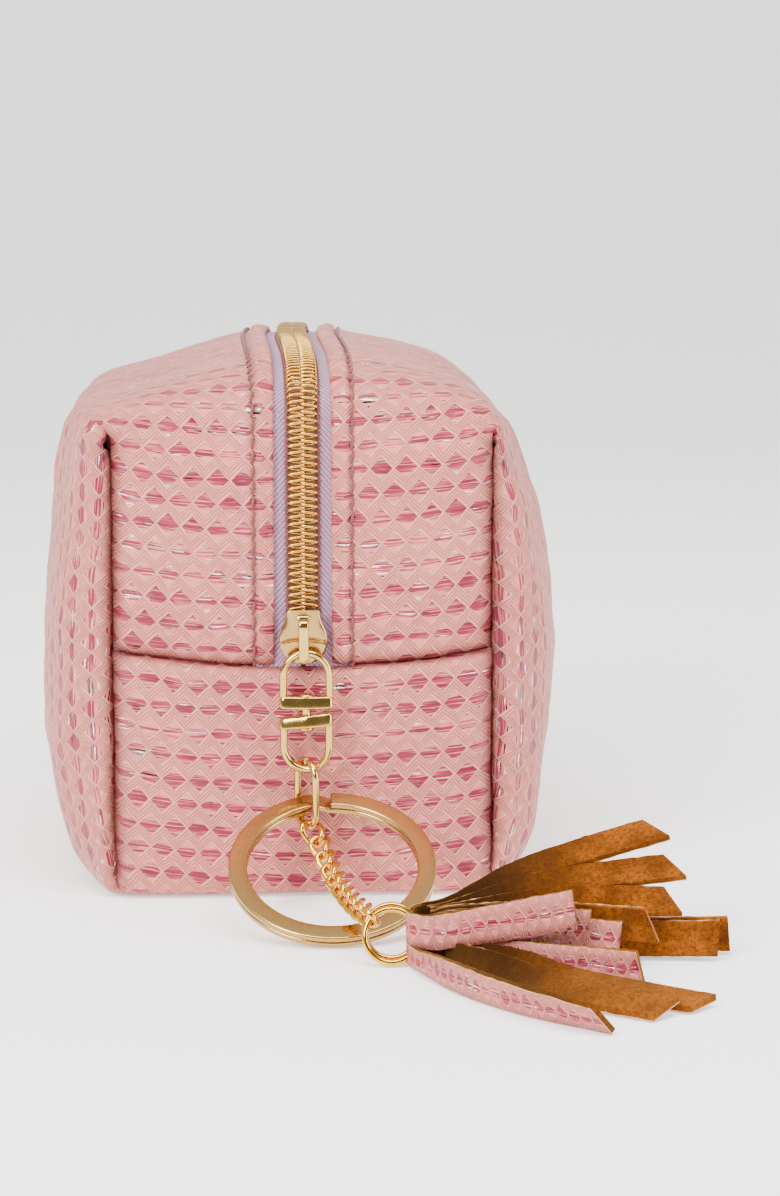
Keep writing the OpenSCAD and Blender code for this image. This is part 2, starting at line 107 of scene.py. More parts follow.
def at_length(want, at, p):
    """Points at the wanted lengths along a line, whose points p lie at the lengths in at."""
    return np.stack([np.interp(want, at, p[:, k]) for k in range(p.shape[1])], -1)


def resample(p, n):
    at = lengths(p)
    return at_length(np.linspace(0, at[-1], n), at, p)


def soften(p, sigma, step):
    """The line with its corners rounded; its ends stay where they are."""
    reach = int(4 * sigma / step)
    k = np.exp(-0.5 * (np.arange(-reach, reach + 1) * step / sigma) ** 2)
    k /= k.sum()
    before = 2 * p[0] - p[reach:0:-1]
    after = 2 * p[-1] - p[-2:-reach - 2:-1]
    full = np.vstack([before, p, after])
    return np.stack([np.convolve(full[:, i], k, "valid") for i in range(p.shape[1])], 1)


def grid_normals(p):
    du = np.gradient(p, axis=0)
    dv = np.gradient(p, axis=1)
    return unit(np.cross(du, dv))


def make_mesh(name, verts, faces, uvs, mats, slots):
    """A mesh object from points in millimetres. uvs holds one pair for each vertex, in millimetres."""
    mesh = bpy.data.meshes.new(name)
    mesh.from_pydata([tuple(v * MM) for v in np.asarray(verts)], [], faces)
    layer = mesh.uv_layers.new(name="UVMap")
    index = np.empty(len(mesh.loops), int)
    mesh.loops.foreach_get("vertex_index", index)
    layer.data.foreach_set("uv", np.asarray(uvs, float)[index].ravel())
    for m in mats:
        mesh.materials.append(m)
    mesh.polygons.foreach_set("material_index", np.asarray(slots, int))
    mesh.polygons.foreach_set("use_smooth", [True] * len(mesh.polygons))
    mesh.update()
    obj = bpy.data.objects.new(name, mesh)
    bpy.context.scene.collection.objects.link(obj)
    return obj


def grid_faces(nu, nv, wrap_u=False, wrap_v=False, start=0, flip=False):
    faces = []
    for i in range(nu if wrap_u else nu - 1):
        for j in range(nv if wrap_v else nv - 1):
            a, b = i * nv + j, ((i + 1) % nu) * nv + j
            c, d = ((i + 1) % nu) * nv + (j + 1) % nv, i * nv + (j + 1) % nv
            f = (a, b, c, d) if not flip else (d, c, b, a)
            faces.append(tuple(start + k for k in f))
    return faces


class Parts:
    """Grids collected into one mesh."""

    def __init__(self):
        self.verts, self.faces, self.uvs, self.slots, self.seam_shades = [], [], [], [], []

    def add(self, p, uv=None, slot=0, wrap_u=False, wrap_v=False, flip=False, caps=False, seam=None):
        nu, nv = p.shape[:2]
        start = sum(len(v) for v in self.verts)
        self.verts.append(p.reshape(-1, 3))
        if uv is None:
            u = np.linspace(0, nu * 0.3, nu)[:, None] + np.zeros((nu, nv))
            v = np.linspace(0, nv * 0.3, nv)[None, :] + np.zeros((nu, nv))
            uv = np.stack([u, v], -1)
        self.uvs.append(uv.reshape(-1, 2))
        self.seam_shades.append(np.zeros(nu * nv) if seam is None else seam.ravel())
        faces = grid_faces(nu, nv, wrap_u, wrap_v, start, flip)
        if caps:
            first = [start + j for j in range(nv)]
            last = [start + (nu - 1) * nv + j for j in range(nv)]
            faces += [tuple(first) if not flip else tuple(first[::-1]),
                      tuple(last[::-1]) if not flip else tuple(last)]
        self.faces += faces
        self.slots += [slot] * len(faces)

    def build(self, name, mats):
        obj = make_mesh(name, np.vstack(self.verts), self.faces, np.vstack(self.uvs), mats, self.slots)
        seam = np.concatenate(self.seam_shades)
        if seam.any():
            # the seam attribute is a painted shade mask for the creases at the seams
            layer = obj.data.attributes.new("seam", "FLOAT", "POINT")
            layer.data.foreach_set("value", np.clip(seam, 0, 1))
        return obj


def one_grid(name, mats, *grid, **how):
    parts = Parts()
    parts.add(*grid, **how)
    return parts.build(name, mats)


def declare(obj, body, slot, *nodes):
    """The piece rides on a CAD body and stands for CAD nodes. The slot argument is not used."""
    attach(obj, body)
    if nodes:
        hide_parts(*nodes)


def frames_along(path, closed=False, up=None):
    """Two directions across the path at each point, which turn as little as they can."""
    n = len(path)
    if closed:
        tangent = unit(np.roll(path, -1, 0) - np.roll(path, 1, 0))
    else:
        tangent = unit(np.gradient(path, axis=0))
    start = np.array(up if up is not None else [0.0, 0.0, 1.0])
    if abs(tangent[0] @ start) > 0.95 and up is None:
        start = np.array([1.0, 0.0, 0.0])
    side = unit(start - tangent[0] * (start @ tangent[0]))
    sides = [side]
    for i in range(1, n):
        s = sides[-1] - tangent[i] * (sides[-1] @ tangent[i])
        sides.append(unit(s))
    sides = np.array(sides)
    if closed:
        end = unit(sides[-1] - tangent[0] * (sides[-1] @ tangent[0]))
        other = np.cross(tangent[0], sides[0])
        twist = math.atan2(end @ other, end @ sides[0])
        turn = -twist * np.arange(n) / n
        others = np.cross(tangent, sides)
        sides = sides * np.cos(turn)[:, None] + others * np.sin(turn)[:, None]
    return tangent, sides, np.cross(tangent, sides)


def tube(path, radius, sides=10, closed=False, up=None):
    """A round wire along the path, as a grid."""
    path = np.asarray(path, float)
    _, a, b = frames_along(path, closed, up)
    q = circle(sides)
    r = np.broadcast_to(np.asarray(radius, float).reshape(-1, 1, 1), (len(path), 1, 1))
    spoke = a[:, None] * np.cos(q)[None, :, None] + b[:, None] * np.sin(q)[None, :, None]
    return path[:, None] + r * spoke


def ribbed(profile, path, across, out):
    """A flat profile carried along a path: profile points are (across, out) pairs."""
    prof = np.asarray(profile, float)
    return (path[:, None] + across[:, None] * prof[None, :, :1] + out[:, None] * prof[None, :, 1:])


def rounded_rect(w, h, r, per=4):
    """Points round a rectangle with rounded corners."""
    pts = []
    for cx, cy, a0 in ((1, 1, 0), (-1, 1, 90), (-1, -1, 180), (1, -1, 270)):
        for k in range(per + 1):
            a = math.radians(a0 + 90 * k / per)
            pts.append((cx * (w / 2 - r) + r * math.cos(a), cy * (h / 2 - r) + r * math.sin(a)))
    return pts


def ripple(p, wavelength, seed, waves=7):
    """A smooth random field over points in millimetres, from about -1 to 1."""
    rng = np.random.default_rng(seed)
    out = np.zeros(p.shape[:-1])
    for _ in range(waves):
        k = unit(rng.normal(size=3)) * 2 * math.pi / (wavelength * rng.uniform(0.7, 1.5))
        out += np.sin(p @ k + rng.uniform(0, 2 * math.pi))
    return out / math.sqrt(waves) / 1.3


# ---------------------------------------------------------------- materials

class Look:
    """A node material, and short ways to add nodes to it."""

    def __init__(self, name):
        self.mat = bpy.data.materials.new(name)
        self.mat.use_nodes = True
        self.tree = self.mat.node_tree
        self.bsdf = next(n for n in self.tree.nodes if n.type == "BSDF_PRINCIPLED")

    def put(self, socket, value):
        if isinstance(value, bpy.types.NodeSocket):
            self.tree.links.new(value, socket)
        elif isinstance(value, (tuple, list)) and len(value) == 3 and socket.type == "RGBA":
            socket.default_value = (*value, 1)
        else:
            socket.default_value = value

    def node(self, kind, inputs=None, **props):
        n = self.tree.nodes.new(kind)
        for key, value in props.items():
            setattr(n, key, value)
        for key, value in (inputs or {}).items():
            self.put(n.inputs[key], value)
        return n

    def math(self, op, a, b=0.0, c=0.0, clamp=False):
        return self.node("ShaderNodeMath", {0: a, 1: b, 2: c}, operation=op, use_clamp=clamp).outputs[0]

    def add(self, a, b):
        return self.math("ADD", a, b)

    def sub(self, a, b):
        return self.math("SUBTRACT", a, b)

    def mul(self, a, b):
        return self.math("MULTIPLY", a, b)

    def ramp(self, value, low, high, to_low=0.0, to_high=1.0):
        return self.node("ShaderNodeMapRange", {0: value, 1: low, 2: high, 3: to_low, 4: to_high},
                         interpolation_type="SMOOTHSTEP").outputs[0]

    def mix(self, fac, a, b):
        n = self.node("ShaderNodeMix", data_type="RGBA")
        self.put(n.inputs[0], fac)
        self.put(n.inputs[6], a)
        self.put(n.inputs[7], b)
        return n.outputs[2]

    def noise(self, vector, scale, detail=2.0, rough=0.5):
        return self.node("ShaderNodeTexNoise", {"Vector": vector, "Scale": scale, "Detail": detail,
                                                "Roughness": rough}).outputs["Fac"]

    def field(self, u, v, u_scale, v_scale, z=0.0, detail=2.0, rough=0.5):
        """Noise over a sheet, drawn out by scaling its two directions apart."""
        point = self.vec(self.mul(u, u_scale), self.mul(v, v_scale), z)
        return self.noise(point, 1.0, detail, rough)

    def vec(self, x, y, z=0.0):
        return self.node("ShaderNodeCombineXYZ", {0: x, 1: y, 2: z}).outputs[0]

    def uv(self):
        s = self.node("ShaderNodeSeparateXYZ", {0: self.node("ShaderNodeUVMap", uv_map="UVMap").outputs[0]})
        return s.outputs[0], s.outputs[1]

    def place(self):
        """The point on the object, in millimetres."""
        return self.scaled(self.node("ShaderNodeTexCoord").outputs["Object"], (1000, 1000, 1000))

    def scaled(self, point, by):
        return self.node("ShaderNodeVectorMath", {0: point, 1: by}, operation="MULTIPLY").outputs[0]

    def bump(self, height_mm, strength=1.0):
        n = self.node("ShaderNodeBump", {"Strength": strength, "Distance": MM, "Height": height_mm})
        self.put(self.bsdf.inputs["Normal"], n.outputs[0])

    def set(self, **values):
        for key, value in values.items():
            self.put(self.bsdf.inputs[key.replace("_", " ")], value)


def srgb(r, g, b):
    return tuple((c / 255 / 12.92) if c <= 10 else ((c / 255 + 0.055) / 1.055) ** 2.4 for c in (r, g, b))


def leather_look(name):
    """Pale film with woven diagonal straps over rose foil, which shows as stripes in rows of lozenges."""
    k = Look(name)
    u, v = k.uv()
    u = k.add(u, k.mul(k.sub(k.field(u, v, 0.13, 0.13), 0.5), 0.9))
    v = k.add(v, k.mul(k.sub(k.field(u, v, 0.09, 0.16, 5.0), 0.5), 1.3))
    row = k.math("DIVIDE", v, PATTERN)
    r = k.math("FLOOR", row)
    down = k.sub(k.sub(row, r), 0.5)
    b = k.mul(k.math("ABSOLUTE", down), 2.0)
    shift = k.mul(k.math("FLOORED_MODULO", r, 2.0), 0.5)
    col = k.add(k.math("DIVIDE", u, PATTERN), shift)
    a = k.mul(k.math("ABSOLUTE", k.sub(k.math("FRACT", col), 0.5)), 2.0)
    d = k.add(a, b)
    window = k.ramp(d, 0.97, 0.88)
    cell = k.node("ShaderNodeTexWhiteNoise", {"Vector": k.vec(k.math("FLOOR", col), r)},
                  noise_dimensions="3D").outputs[0]
    band = k.node("ShaderNodeTexWhiteNoise", {"W": r}, noise_dimensions="1D").outputs[0]
    streaks = k.field(u, v, 0.07, 2.3, 3.0, 2.5, 0.65)
    patches = k.field(u, v, 0.05, 0.09, 8.0, 1.5)
    level = k.add(streaks, k.ramp(b, 0.56, 0.12, -0.11, 0.095))
    level = k.add(level, k.mul(k.sub(band, 0.42), 0.16))
    level = k.add(level, k.mul(k.sub(cell, 0.5), 0.06))
    level = k.add(level, k.mul(k.sub(patches, 0.5), 0.35))
    level = k.add(level, k.mul(down, 0.20))
    fine = k.field(u, v, 0.13, 4.4, 23.0, 1.5, 0.6)
    foil = k.mul(k.ramp(level, 0.470, 0.510), window)
    foil = k.mul(foil, k.ramp(fine, 0.36, 0.46))
    # painted dark reflection: thin dark lines at the edges of the foil stripes, where the foil mirrors dark
    # surroundings
    thin = k.field(u, v, 0.20, 0.9, 31.0, 2.0)
    off = k.math("ABSOLUTE", k.sub(level, 0.458))
    rim = k.math("SUBTRACT", 1.0, k.mul(off, 42.0), clamp=True)
    painted_dark_reflection = k.mul(k.mul(rim, k.ramp(thin, 0.46, 0.58)), window)
    # mirror foil streaks: made metallic, and also coloured near white and near black as a painted
    # reflection
    glint_n = k.field(u, v, 0.16, 2.6, 17.0, 1.5)
    gain = k.add(glint_n, k.mul(k.field(u, v, 0.035, 0.07, 41.0, 1.0), 0.42))
    mirror_foil_and_painted_glint = k.mul(k.ramp(gain, 0.855, 0.885), window)
    flank = k.math("GREATER_THAN", k.math("FRACT", col), 0.5)
    turns = k.add(k.mul(d, 3.2), k.mul(flank, 0.45))
    ridge = k.math("COSINE", k.mul(turns, 2 * math.pi))
    strap = k.ramp(d, 0.98, 1.06)
    edge = k.math("SUBTRACT", 1.0, k.mul(k.math("ABSOLUTE", k.sub(d, 0.97)), 10.0), clamp=True)
    grain = k.noise(k.vec(u, v, 2.0), 3.2, 3.0, 0.6)
    ribs = k.mul(k.add(k.mul(ridge, 0.5), 0.5), strap)
    worn = k.noise(k.vec(u, v, 9.0), 0.55, 3.0, 0.6)
    ribs = k.mul(ribs, k.ramp(worn, 0.30, 0.62, 0.25, 1.0))
    pale = k.mix(patches, FILM_PALE_AND_HIGHLIGHT, FILM_DEEP)
    # painted shade and highlight: the straps are darkened as shade in the valleys between their ribs, and
    # the rib crests are lifted back toward the pale film as a painted highlight
    pale = k.mix(k.mul(strap, 0.62), pale, FILM_SHADE)
    pale = k.mix(k.mul(ribs, 0.80), pale, FILM_PALE_AND_HIGHLIGHT)
    inside = k.mix(k.mul(window, 0.30), pale, FOIL_PALE)
    rose = k.mix(k.ramp(fine, 0.40, 0.68), FOIL_ROSE, FOIL_DEEP)
    colour = k.mix(k.mul(painted_dark_reflection, 0.85), inside, FOIL_PAINTED_DARK_REFLECTION)
    colour = k.mix(foil, colour, rose)
    colour = k.mix(k.mul(edge, k.ramp(worn, 0.3, 0.6, 0.35, 0.85)), colour, FILM_EDGE)
    # painted reflection: the streaks take a near-black or near-white colour
    side = k.ramp(streaks, 0.45, 0.55)
    colour = k.mix(mirror_foil_and_painted_glint, colour, k.mix(side, srgb(40, 22, 24), srgb(255, 240, 230)))
    # painted shade: the seam attribute darkens the leather toward dark red-brown in the creases at the
    # seams and in the stitch groove
    fold = k.node("ShaderNodeAttribute", attribute_name="seam").outputs["Fac"]
    colour = k.mix(k.mul(fold, 0.82), colour, srgb(74, 24, 26))
    k.set(Base_Color=colour, Metallic=k.mul(mirror_foil_and_painted_glint, 0.8),
          Roughness=k.sub(k.add(0.40, k.mul(grain, 0.14)),
                           k.add(k.mul(foil, 0.12), k.mul(mirror_foil_and_painted_glint, 0.25))))
    k.bsdf.inputs["Specular IOR Level"].default_value = 0.35
    height = k.mul(ribs, 0.16)
    height = k.add(height, k.mul(edge, 0.16))
    height = k.sub(height, k.mul(window, 0.16))
    height = k.add(height, k.mul(k.ramp(streaks, 0.4, 0.6), k.mul(window, 0.08)))
    height = k.add(height, k.mul(grain, 0.035))
    k.bump(height)
    return k.mat


def gold_look(name, base, rough, brushed=0.0):
    k = Look(name)
    p = k.place()
    cloud = k.noise(p, 0.35, 3.0)
    fine = k.noise(p, 6.0, 2.0)
    dull = [c * 0.9 for c in srgb(*base)]
    k.set(Base_Color=k.mix(cloud, srgb(*base), tuple(dull)), Metallic=1.0,
          Roughness=k.add(rough, k.mul(k.mul(cloud, fine), 0.16)))
    height = k.mul(fine, 0.004)
    if brushed:
        height = k.add(height, k.mul(k.noise(k.scaled(p, (0.4, 6.0, 6.0)), 1.0), brushed))
    k.bump(height)
    return k.mat


def suede_look(name):
    k = Look(name)
    p = k.place()
    big = k.noise(p, 0.22, 3.0, 0.6)
    nap = k.noise(p, 1.6, 4.0, 0.7)
    fibre = k.noise(p, 7.0, 3.0, 0.7)
    tone = k.mix(k.ramp(big, 0.3, 0.7), srgb(84, 38, 3), srgb(136, 70, 8))
    tone = k.mix(k.mul(k.ramp(nap, 0.38, 0.68), 0.85), tone, srgb(58, 22, 2))
    tone = k.mix(k.mul(k.ramp(fibre, 0.50, 0.75), 0.5), tone, srgb(170, 104, 18))
    # painted shade: the suede darkens to near black-brown toward the tassel head, where the strips come out
    # of its hollow
    out = k.node("ShaderNodeSeparateXYZ", {0: p}).outputs[0]
    tone = k.mix(k.ramp(out, 50.0, 28.0, 0.0, 0.93), tone, srgb(34, 13, 0))
    k.set(Base_Color=tone, Roughness=0.95)
    k.bsdf.inputs["Sheen Weight"].default_value = 0.35
    k.bsdf.inputs["Sheen Roughness"].default_value = 0.5
    k.bsdf.inputs["Sheen Tint"].default_value = (*srgb(235, 170, 80), 1)
    k.bsdf.inputs["Specular IOR Level"].default_value = 0.1
    k.bump(k.add(k.mul(nap, 0.12), k.mul(fibre, 0.07)))
    return k.mat


def plain_look(name, colour, rough=0.7, grain=0.02, scale=5.0, vary=0.12, sheen=0.0):
    k = Look(name)
    p = k.place()
    n = k.noise(p, scale, 3.0, 0.6)
    low = tuple(c * (1 - vary) for c in srgb(*colour))
    high = tuple(min(1, c * (1 + vary)) for c in srgb(*colour))
    k.set(Base_Color=k.mix(n, low, high), Roughness=rough)
    k.bsdf.inputs["Sheen Weight"].default_value = sheen
    k.bump(k.mul(n, grain))
    return k.mat


def tape_look(name):
    """Twill tape: diagonal ribs with a darker thread between them."""
    k = Look(name)
    u, v = k.uv()
    rib = k.math("SINE", k.mul(k.add(k.mul(u, 1.2), v), 2 * math.pi / 0.95))
    cross = k.math("SINE", k.mul(k.sub(u, k.mul(v, 0.7)), 2 * math.pi / 0.42))
    weave = k.mul(k.add(rib, k.mul(cross, 0.5)), 0.5)
    n = k.noise(k.vec(u, v), 2.5, 3.0)
    f = k.ramp(k.add(weave, k.mul(k.sub(n, 0.5), 0.8)), -0.7, 0.7)
    k.set(Base_Color=k.mix(f, srgb(122, 86, 116), srgb(178, 138, 160)), Roughness=0.8)
    k.bsdf.inputs["Sheen Weight"].default_value = 0.3
    k.bump(k.mul(weave, 0.07))
    return k.mat


PATTERN = 4.05        # the width and height of one lozenge
# the film's pale tone below also serves as the painted highlight on the strap ribs, and the shade colour is
# the painted shade between the ribs
FILM_PALE_AND_HIGHLIGHT = srgb(234, 145, 129)
FILM_DEEP = srgb(208, 110, 98)
FILM_SHADE = srgb(122, 58, 50)
FILM_EDGE = srgb(246, 176, 160)
FOIL_PALE = srgb(190, 86, 88)
FOIL_ROSE = srgb(152, 26, 60)
FOIL_DEEP = srgb(104, 8, 38)
# the colour of the painted dark reflection in thin lines beside the foil stripes
FOIL_PAINTED_DARK_REFLECTION = srgb(70, 34, 30)
LEATHER = leather_look("foil_leather")
GOLD = gold_look("champagne_gold", (208, 170, 92), 0.10)
CHAIN = gold_look("chain_gold", (222, 168, 58), 0.10)
GOLD_FLAT = gold_look("satin_gold", (180, 144, 86), 0.15, 0.006)
COIL = gold_look("coil_gold", (208, 158, 76), 0.16)
SUEDE = suede_look("mustard_suede")
CREAM = plain_look("cream_backing", (190, 140, 86), 0.85, 0.05, 4.0, 0.1, 0.2)
TAPE = tape_look("lilac_twill")
THREAD = plain_look("brown_thread", (112, 44, 36), 0.75, 0.03, 8.0, 0.2, 0.3)
# the coil's cord, coloured brown as a painted reflection between the coil loops
CORD_AND_PAINTED_REFLECTION = plain_look("coil_cord_painted_reflection", (104, 66, 36), 0.8, 0.08, 4.0, 0.3)
# painted shade colour for the needle holes
NEEDLE_HOLE_SHADE = plain_look("needle_hole_painted_shade", (88, 40, 40), 0.9, 0.02, 5.0, 0.2)
LINING = plain_look("lining_cloth", (200, 182, 188), 0.85, 0.05, 3.0, 0.08, 0.2)

for node, obj in frame["nodes"].items():
    obj.data.materials.clear()
    obj.data.materials.append(LINING if node.startswith("lining") else GOLD)

# ---------------------------------------------------------------- pouch leather

low_flap = box("front_flap_lower")
top_flap = box("front_flap_right")
HALF_L = -low_flap[0][1]
HALF_W = low_flap[1][0] + 0.3
SEAM_Z = low_flap[1][2]
FOLD_Z = top_flap[1][2]
TOP_Z = box("top_panel_right")[1][2]
SIDE_X = box("side_panel_right")[1][0]
ZIP_X = top_flap[0][0] + 0.4

# The right half of the pouch cut across, from the zip over the shoulder and down to the base: at an
# end, and half way along
TUCK = HALF_W - 1.0
END_CUT = [(ZIP_X, FOLD_Z + 0.6), (17, FOLD_Z + 0.8), (27, FOLD_Z + 0.2), (HALF_W - 0.5, FOLD_Z - 1.6),
           (TUCK, FOLD_Z - 9), (TUCK, 58), (TUCK, 38), (TUCK, 20), (TUCK, 8), (TUCK - 0.6, 1.6),
           (TUCK - 3, 0)]
WIDEST = {-1: 0.2, 1: -0.9}
SHOULDERS = {
    -1: [(18, TOP_Z - 4.4), (28, TOP_Z - 7.4), (38.0, TOP_Z - 11.0), (41.8, 71.5)],
    1: [(18, TOP_Z - 3.8), (27, TOP_Z - 6.8), (33.4, TOP_Z - 12.0), (38.8, 70.4)],
}


def mid_cut(sign):
    out = SIDE_X + WIDEST[sign]
    return [(ZIP_X, TOP_Z - 0.6)] + SHOULDERS[sign] + [
        (out - 1.6, 58), (out + 0.3, 38), (out - 0.7, 20), (out - 2.8, 9), (out - 7.5, 1.4),
        (HALF_W - 1, 0)]


CORNER = 3
PER = 24
STEP = 0.6


def swell(t):
    return (1 - np.abs(t) ** 3.2) ** 0.45


def cut_at(t, sign):
    """The half section at t, from -1 at the front end to 1 at the back."""
    e = float(swell(t))
    pts = [((1 - e) * a[0] + e * b[0], (1 - e) * a[1] + e * b[1]) for a, b in zip(END_CUT, mid_cut(sign))]
    return through(pts, PER)


def round_over(d, r):
    """How far a surface drops at a distance d from a turned seam of radius r."""
    d = np.clip(d, 0, r)
    return r - np.sqrt(np.maximum(r * r - (r - d) ** 2, 0))


def seam_height(x):
    return SEAM_Z - 0.2 + 2.8 * (np.abs(x) / HALF_W) ** 2


def zip_lean(y):
    """The zip wanders a little to the left along the top."""
    return -1.3 * np.cos(np.clip(y / HALF_L, -1, 1) * math.pi / 2) ** 2


STATIONS = np.sin(np.linspace(-math.pi / 2, math.pi / 2, 141))
NX = 60


def upper_lines(sign):
    """Each column of the upper leather, from the front seam over the top to the back seam."""
    domes = np.array([resample(cut_at(t, sign)[:CORNER * PER + 1], NX) for t in STATIONS])
    lines = []
    for j in range(NX):
        x_end, z_end = domes[0, j]
        seam = seam_height(x_end)
        front = np.array([[x_end, -HALF_L, z] for z in np.linspace(seam, z_end, 30)])
        dome = np.stack([domes[:, j, 0], STATIONS * HALF_L, domes[:, j, 1]], 1)
        back = front[::-1] * np.array([1, -1, 1])
        line = np.vstack([front[:-1], dome, back[1:]])
        n = int(lengths(line)[-1] / STEP)
        lines.append(soften(resample(line, n), 2.3, STEP))
    count = max(len(line) for line in lines)
    return np.array([resample(line, count) for line in lines])            # column, row, xyz


UPPERS = {sign: upper_lines(sign) for sign in (1, -1)}


HEM = 3               # rows turned in at a seam
UNDER = 7             # rows turned under beside the zip


def hem(p, uv, n, sides):
    """The grid with its edges turned in, so that nothing shows through a seam."""
    for side in sides:
        flip = (lambda a: a) if side[1] == "0" else (lambda a: a[::-1])
        turn = (lambda a: a) if side[0] == "u" else (lambda a: a.swapaxes(0, 1))
        g, w, m = flip(turn(p)), flip(turn(uv)), flip(turn(n))
        away = unit(g[0] - g[1])
        rows = np.array([g[0] - m[0] * d + away * a for d, a in ((4.5, 0.2), (2.4, 0.8), (0.9, 0.6))])
        tags = np.array([w[0] + (w[0] - w[1]) * k for k in (6, 4, 2)])
        g, w = np.concatenate([rows, g]), np.concatenate([tags, w])
        m = np.concatenate([m[:1]] * HEM + [m])
        p, uv, n = turn(flip(g)), turn(flip(w)), turn(flip(m))
    return p, uv


def gathers(x, y, z, seed):
    """Folds that fan out from the two top corners, where the seam starts."""
    run = x - HALF_W
    rise = (z - FOLD_Z + 3) + (HALF_L - np.abs(y))
    far = np.hypot(run, rise)
    fan = np.sin(np.arctan2(rise, run) * 15 + 1.5 * np.sin(far / 4 + seed) + np.sign(y))
    return 0.30 * fan * np.exp(-(far / 9) ** 2) * (1 - np.exp(-(far / 2.5) ** 2))


def upper_leather(sign):
    p = UPPERS[sign].copy()
    x0, y0, z0 = p[..., 0].copy(), p[..., 1].copy(), p[..., 2].copy()
    across = run_length(p, 0)
    along = run_length(p, 1)
    n = grid_normals(p)
    on_end = smooth((FOLD_Z - 1.0 - z0) / 4)
    corner = across[-1][None] - across
    drop = round_over(corner, 3.4) * on_end
    ends = np.minimum(along, along[:, -1:] - along)
    drop = np.maximum(drop, round_over(ends, 3.2))
    q = np.clip((x0 - ZIP_X) / (HALF_W - ZIP_X), 0, 1)
    h = np.clip((z0 - SEAM_Z) / (FOLD_Z - SEAM_Z), 0, 1)
    puff = 1.3 * np.sin(math.pi * np.clip(q, 0, 1)) ** 0.8 * np.sin(math.pi * h) ** 0.7 * on_end
    roll = np.clip((x0 - ZIP_X) / 3.0, 0, 1)
    puff += 0.55 * np.sin(math.pi * roll)
    groove = np.exp(-((x0 - STITCH_X) / 0.5) ** 2) * 0.5
    seed = 11 if sign > 0 else 23
    away = smooth((x0 - STITCH_X) / 6)
    waves = 0.42 * ripple(p * [1, 1, 1.6], 26, seed) * away + 0.16 * ripple(p, 9, seed + 1) * away
    pucker = 0.16 * ripple(p * [0.3, 1, 1], 3.4, seed + 2) * np.exp(-((x0 - ZIP_X - 1.6) / 1.8) ** 2)
    near = np.exp(-(corner / 4) ** 2) * on_end + np.exp(-(ends / 4) ** 2)
    pucker += 0.28 * ripple(p, 5.5, seed + 3) * near
    pucker += gathers(x0, y0, z0, seed)
    p = p + n * (puff - drop - groove + waves + pucker)[..., None]
    p[..., 0] += zip_lean(y0) * smooth((24 - x0) / 18) * sign
    uv = np.stack([x0 + 60, along + 30], -1)
    # painted shade mask: darker leather in the creases along the corner and end seams and in the stitch
    # groove
    seam = np.exp(-(corner / 1.7) ** 2) * on_end + np.exp(-(ends / 1.5) ** 2)
    seam += 0.45 * np.exp(-((x0 - STITCH_X) / 0.45) ** 2)
    p, uv = hem(p, uv, n, ["u1", "v0", "v1"])
    n = np.pad(n, ((0, HEM), (HEM, HEM), (0, 0)), "edge")
    seam = np.pad(seam, ((0, HEM), (HEM, HEM)), "edge")
    # the folded edge beside the zip turns under
    edge, en = p[0], n[0]
    under = []
    for a in (30, 60, 90, 120, 150, 180):
        c, s = math.cos(math.radians(a)), math.sin(math.radians(a))
        under.append(edge - en * 0.65 * (1 - c) - np.array([1, 0, 0]) * 0.65 * s)
    under.append(under[-1] + np.array([2.5, 0, 0]))
    p = np.concatenate([np.array(under[::-1]), p])
    uv0 = np.array([uv[0] - [0.35 * (k + 1), 0] for k in range(len(under))][::-1])
    seam = np.pad(seam, ((len(under), 0), (0, 0)), "edge")
    return p, np.concatenate([uv0, uv]), seam


def side_leather(sign, edge):
    """The padded side. edge is the upper leather's line along the shoulder, which it joins."""
    mid = len(edge) // 2
    first = int(np.argmin(np.abs(edge[:mid, 2] - (FOLD_Z - 2.2))))
    last = mid + int(np.argmin(np.abs(edge[mid:, 2] - (FOLD_Z - 2.2))))
    line = edge[first:last + 1]
    cuts = np.array([resample(cut_at(t, sign)[CORNER * PER:], 130) for t in STATIONS])
    rows = cuts.shape[1]
    p = np.zeros((rows, len(STATIONS), 3))
    reach = abs(line[0, 1])
    down = lengths(cuts[len(STATIONS) // 2])
    top_y = STATIONS * reach
    top = at_length(top_y, line[:, 1], line)
    top[:, 1] = top_y
    for i in range(rows):
        y = STATIONS * (reach + (HALF_L - 0.2 - reach) * float(smooth(down[i] / 4)))
        here = np.stack([cuts[:, i, 0], y, cuts[:, i, 1]], 1)
        fade = 1 - float(smooth(down[i] / 8))
        join = top - np.stack([cuts[:, 0, 0], top_y, cuts[:, 0, 1]], 1)
        p[i] = here + join * fade
    along = run_length(p, 1)
    fall = run_length(p, 0)
    n = grid_normals(p)
    ends = np.minimum(along, along[:, -1:] - along)
    begin = smooth((fall - 0.6) / 4)
    drop = round_over(ends, 4.0) * begin
    seed = 31 if sign > 0 else 47
    low = smooth(p[..., 2] / 6)
    waves = 0.5 * ripple(p * [1, 1.5, 0.7], 24, seed) * begin + 0.2 * ripple(p, 8, seed + 1) * begin
    pucker = 0.42 * ripple(p, 5.5, seed + 2) * np.exp(-(ends / 5.5) ** 2) * begin
    p = p + n * ((waves + pucker) * low - drop)[..., None]
    middle = p.shape[1] // 2
    uv = np.stack([fall[:, middle][:, None] + 0 * along + 10, along + 100 - along[:, middle][:, None]], -1)
    # painted shade mask along the corner seams
    seam = np.pad(np.exp(-(ends / 2.0) ** 2) * begin, ((HEM, 0), (HEM, HEM)), "edge")
    p, uv = hem(p, uv, n, ["u0", "v0", "v1"])
    p[..., 2] = np.maximum(p[..., 2], 0.02)
    return p, uv, seam


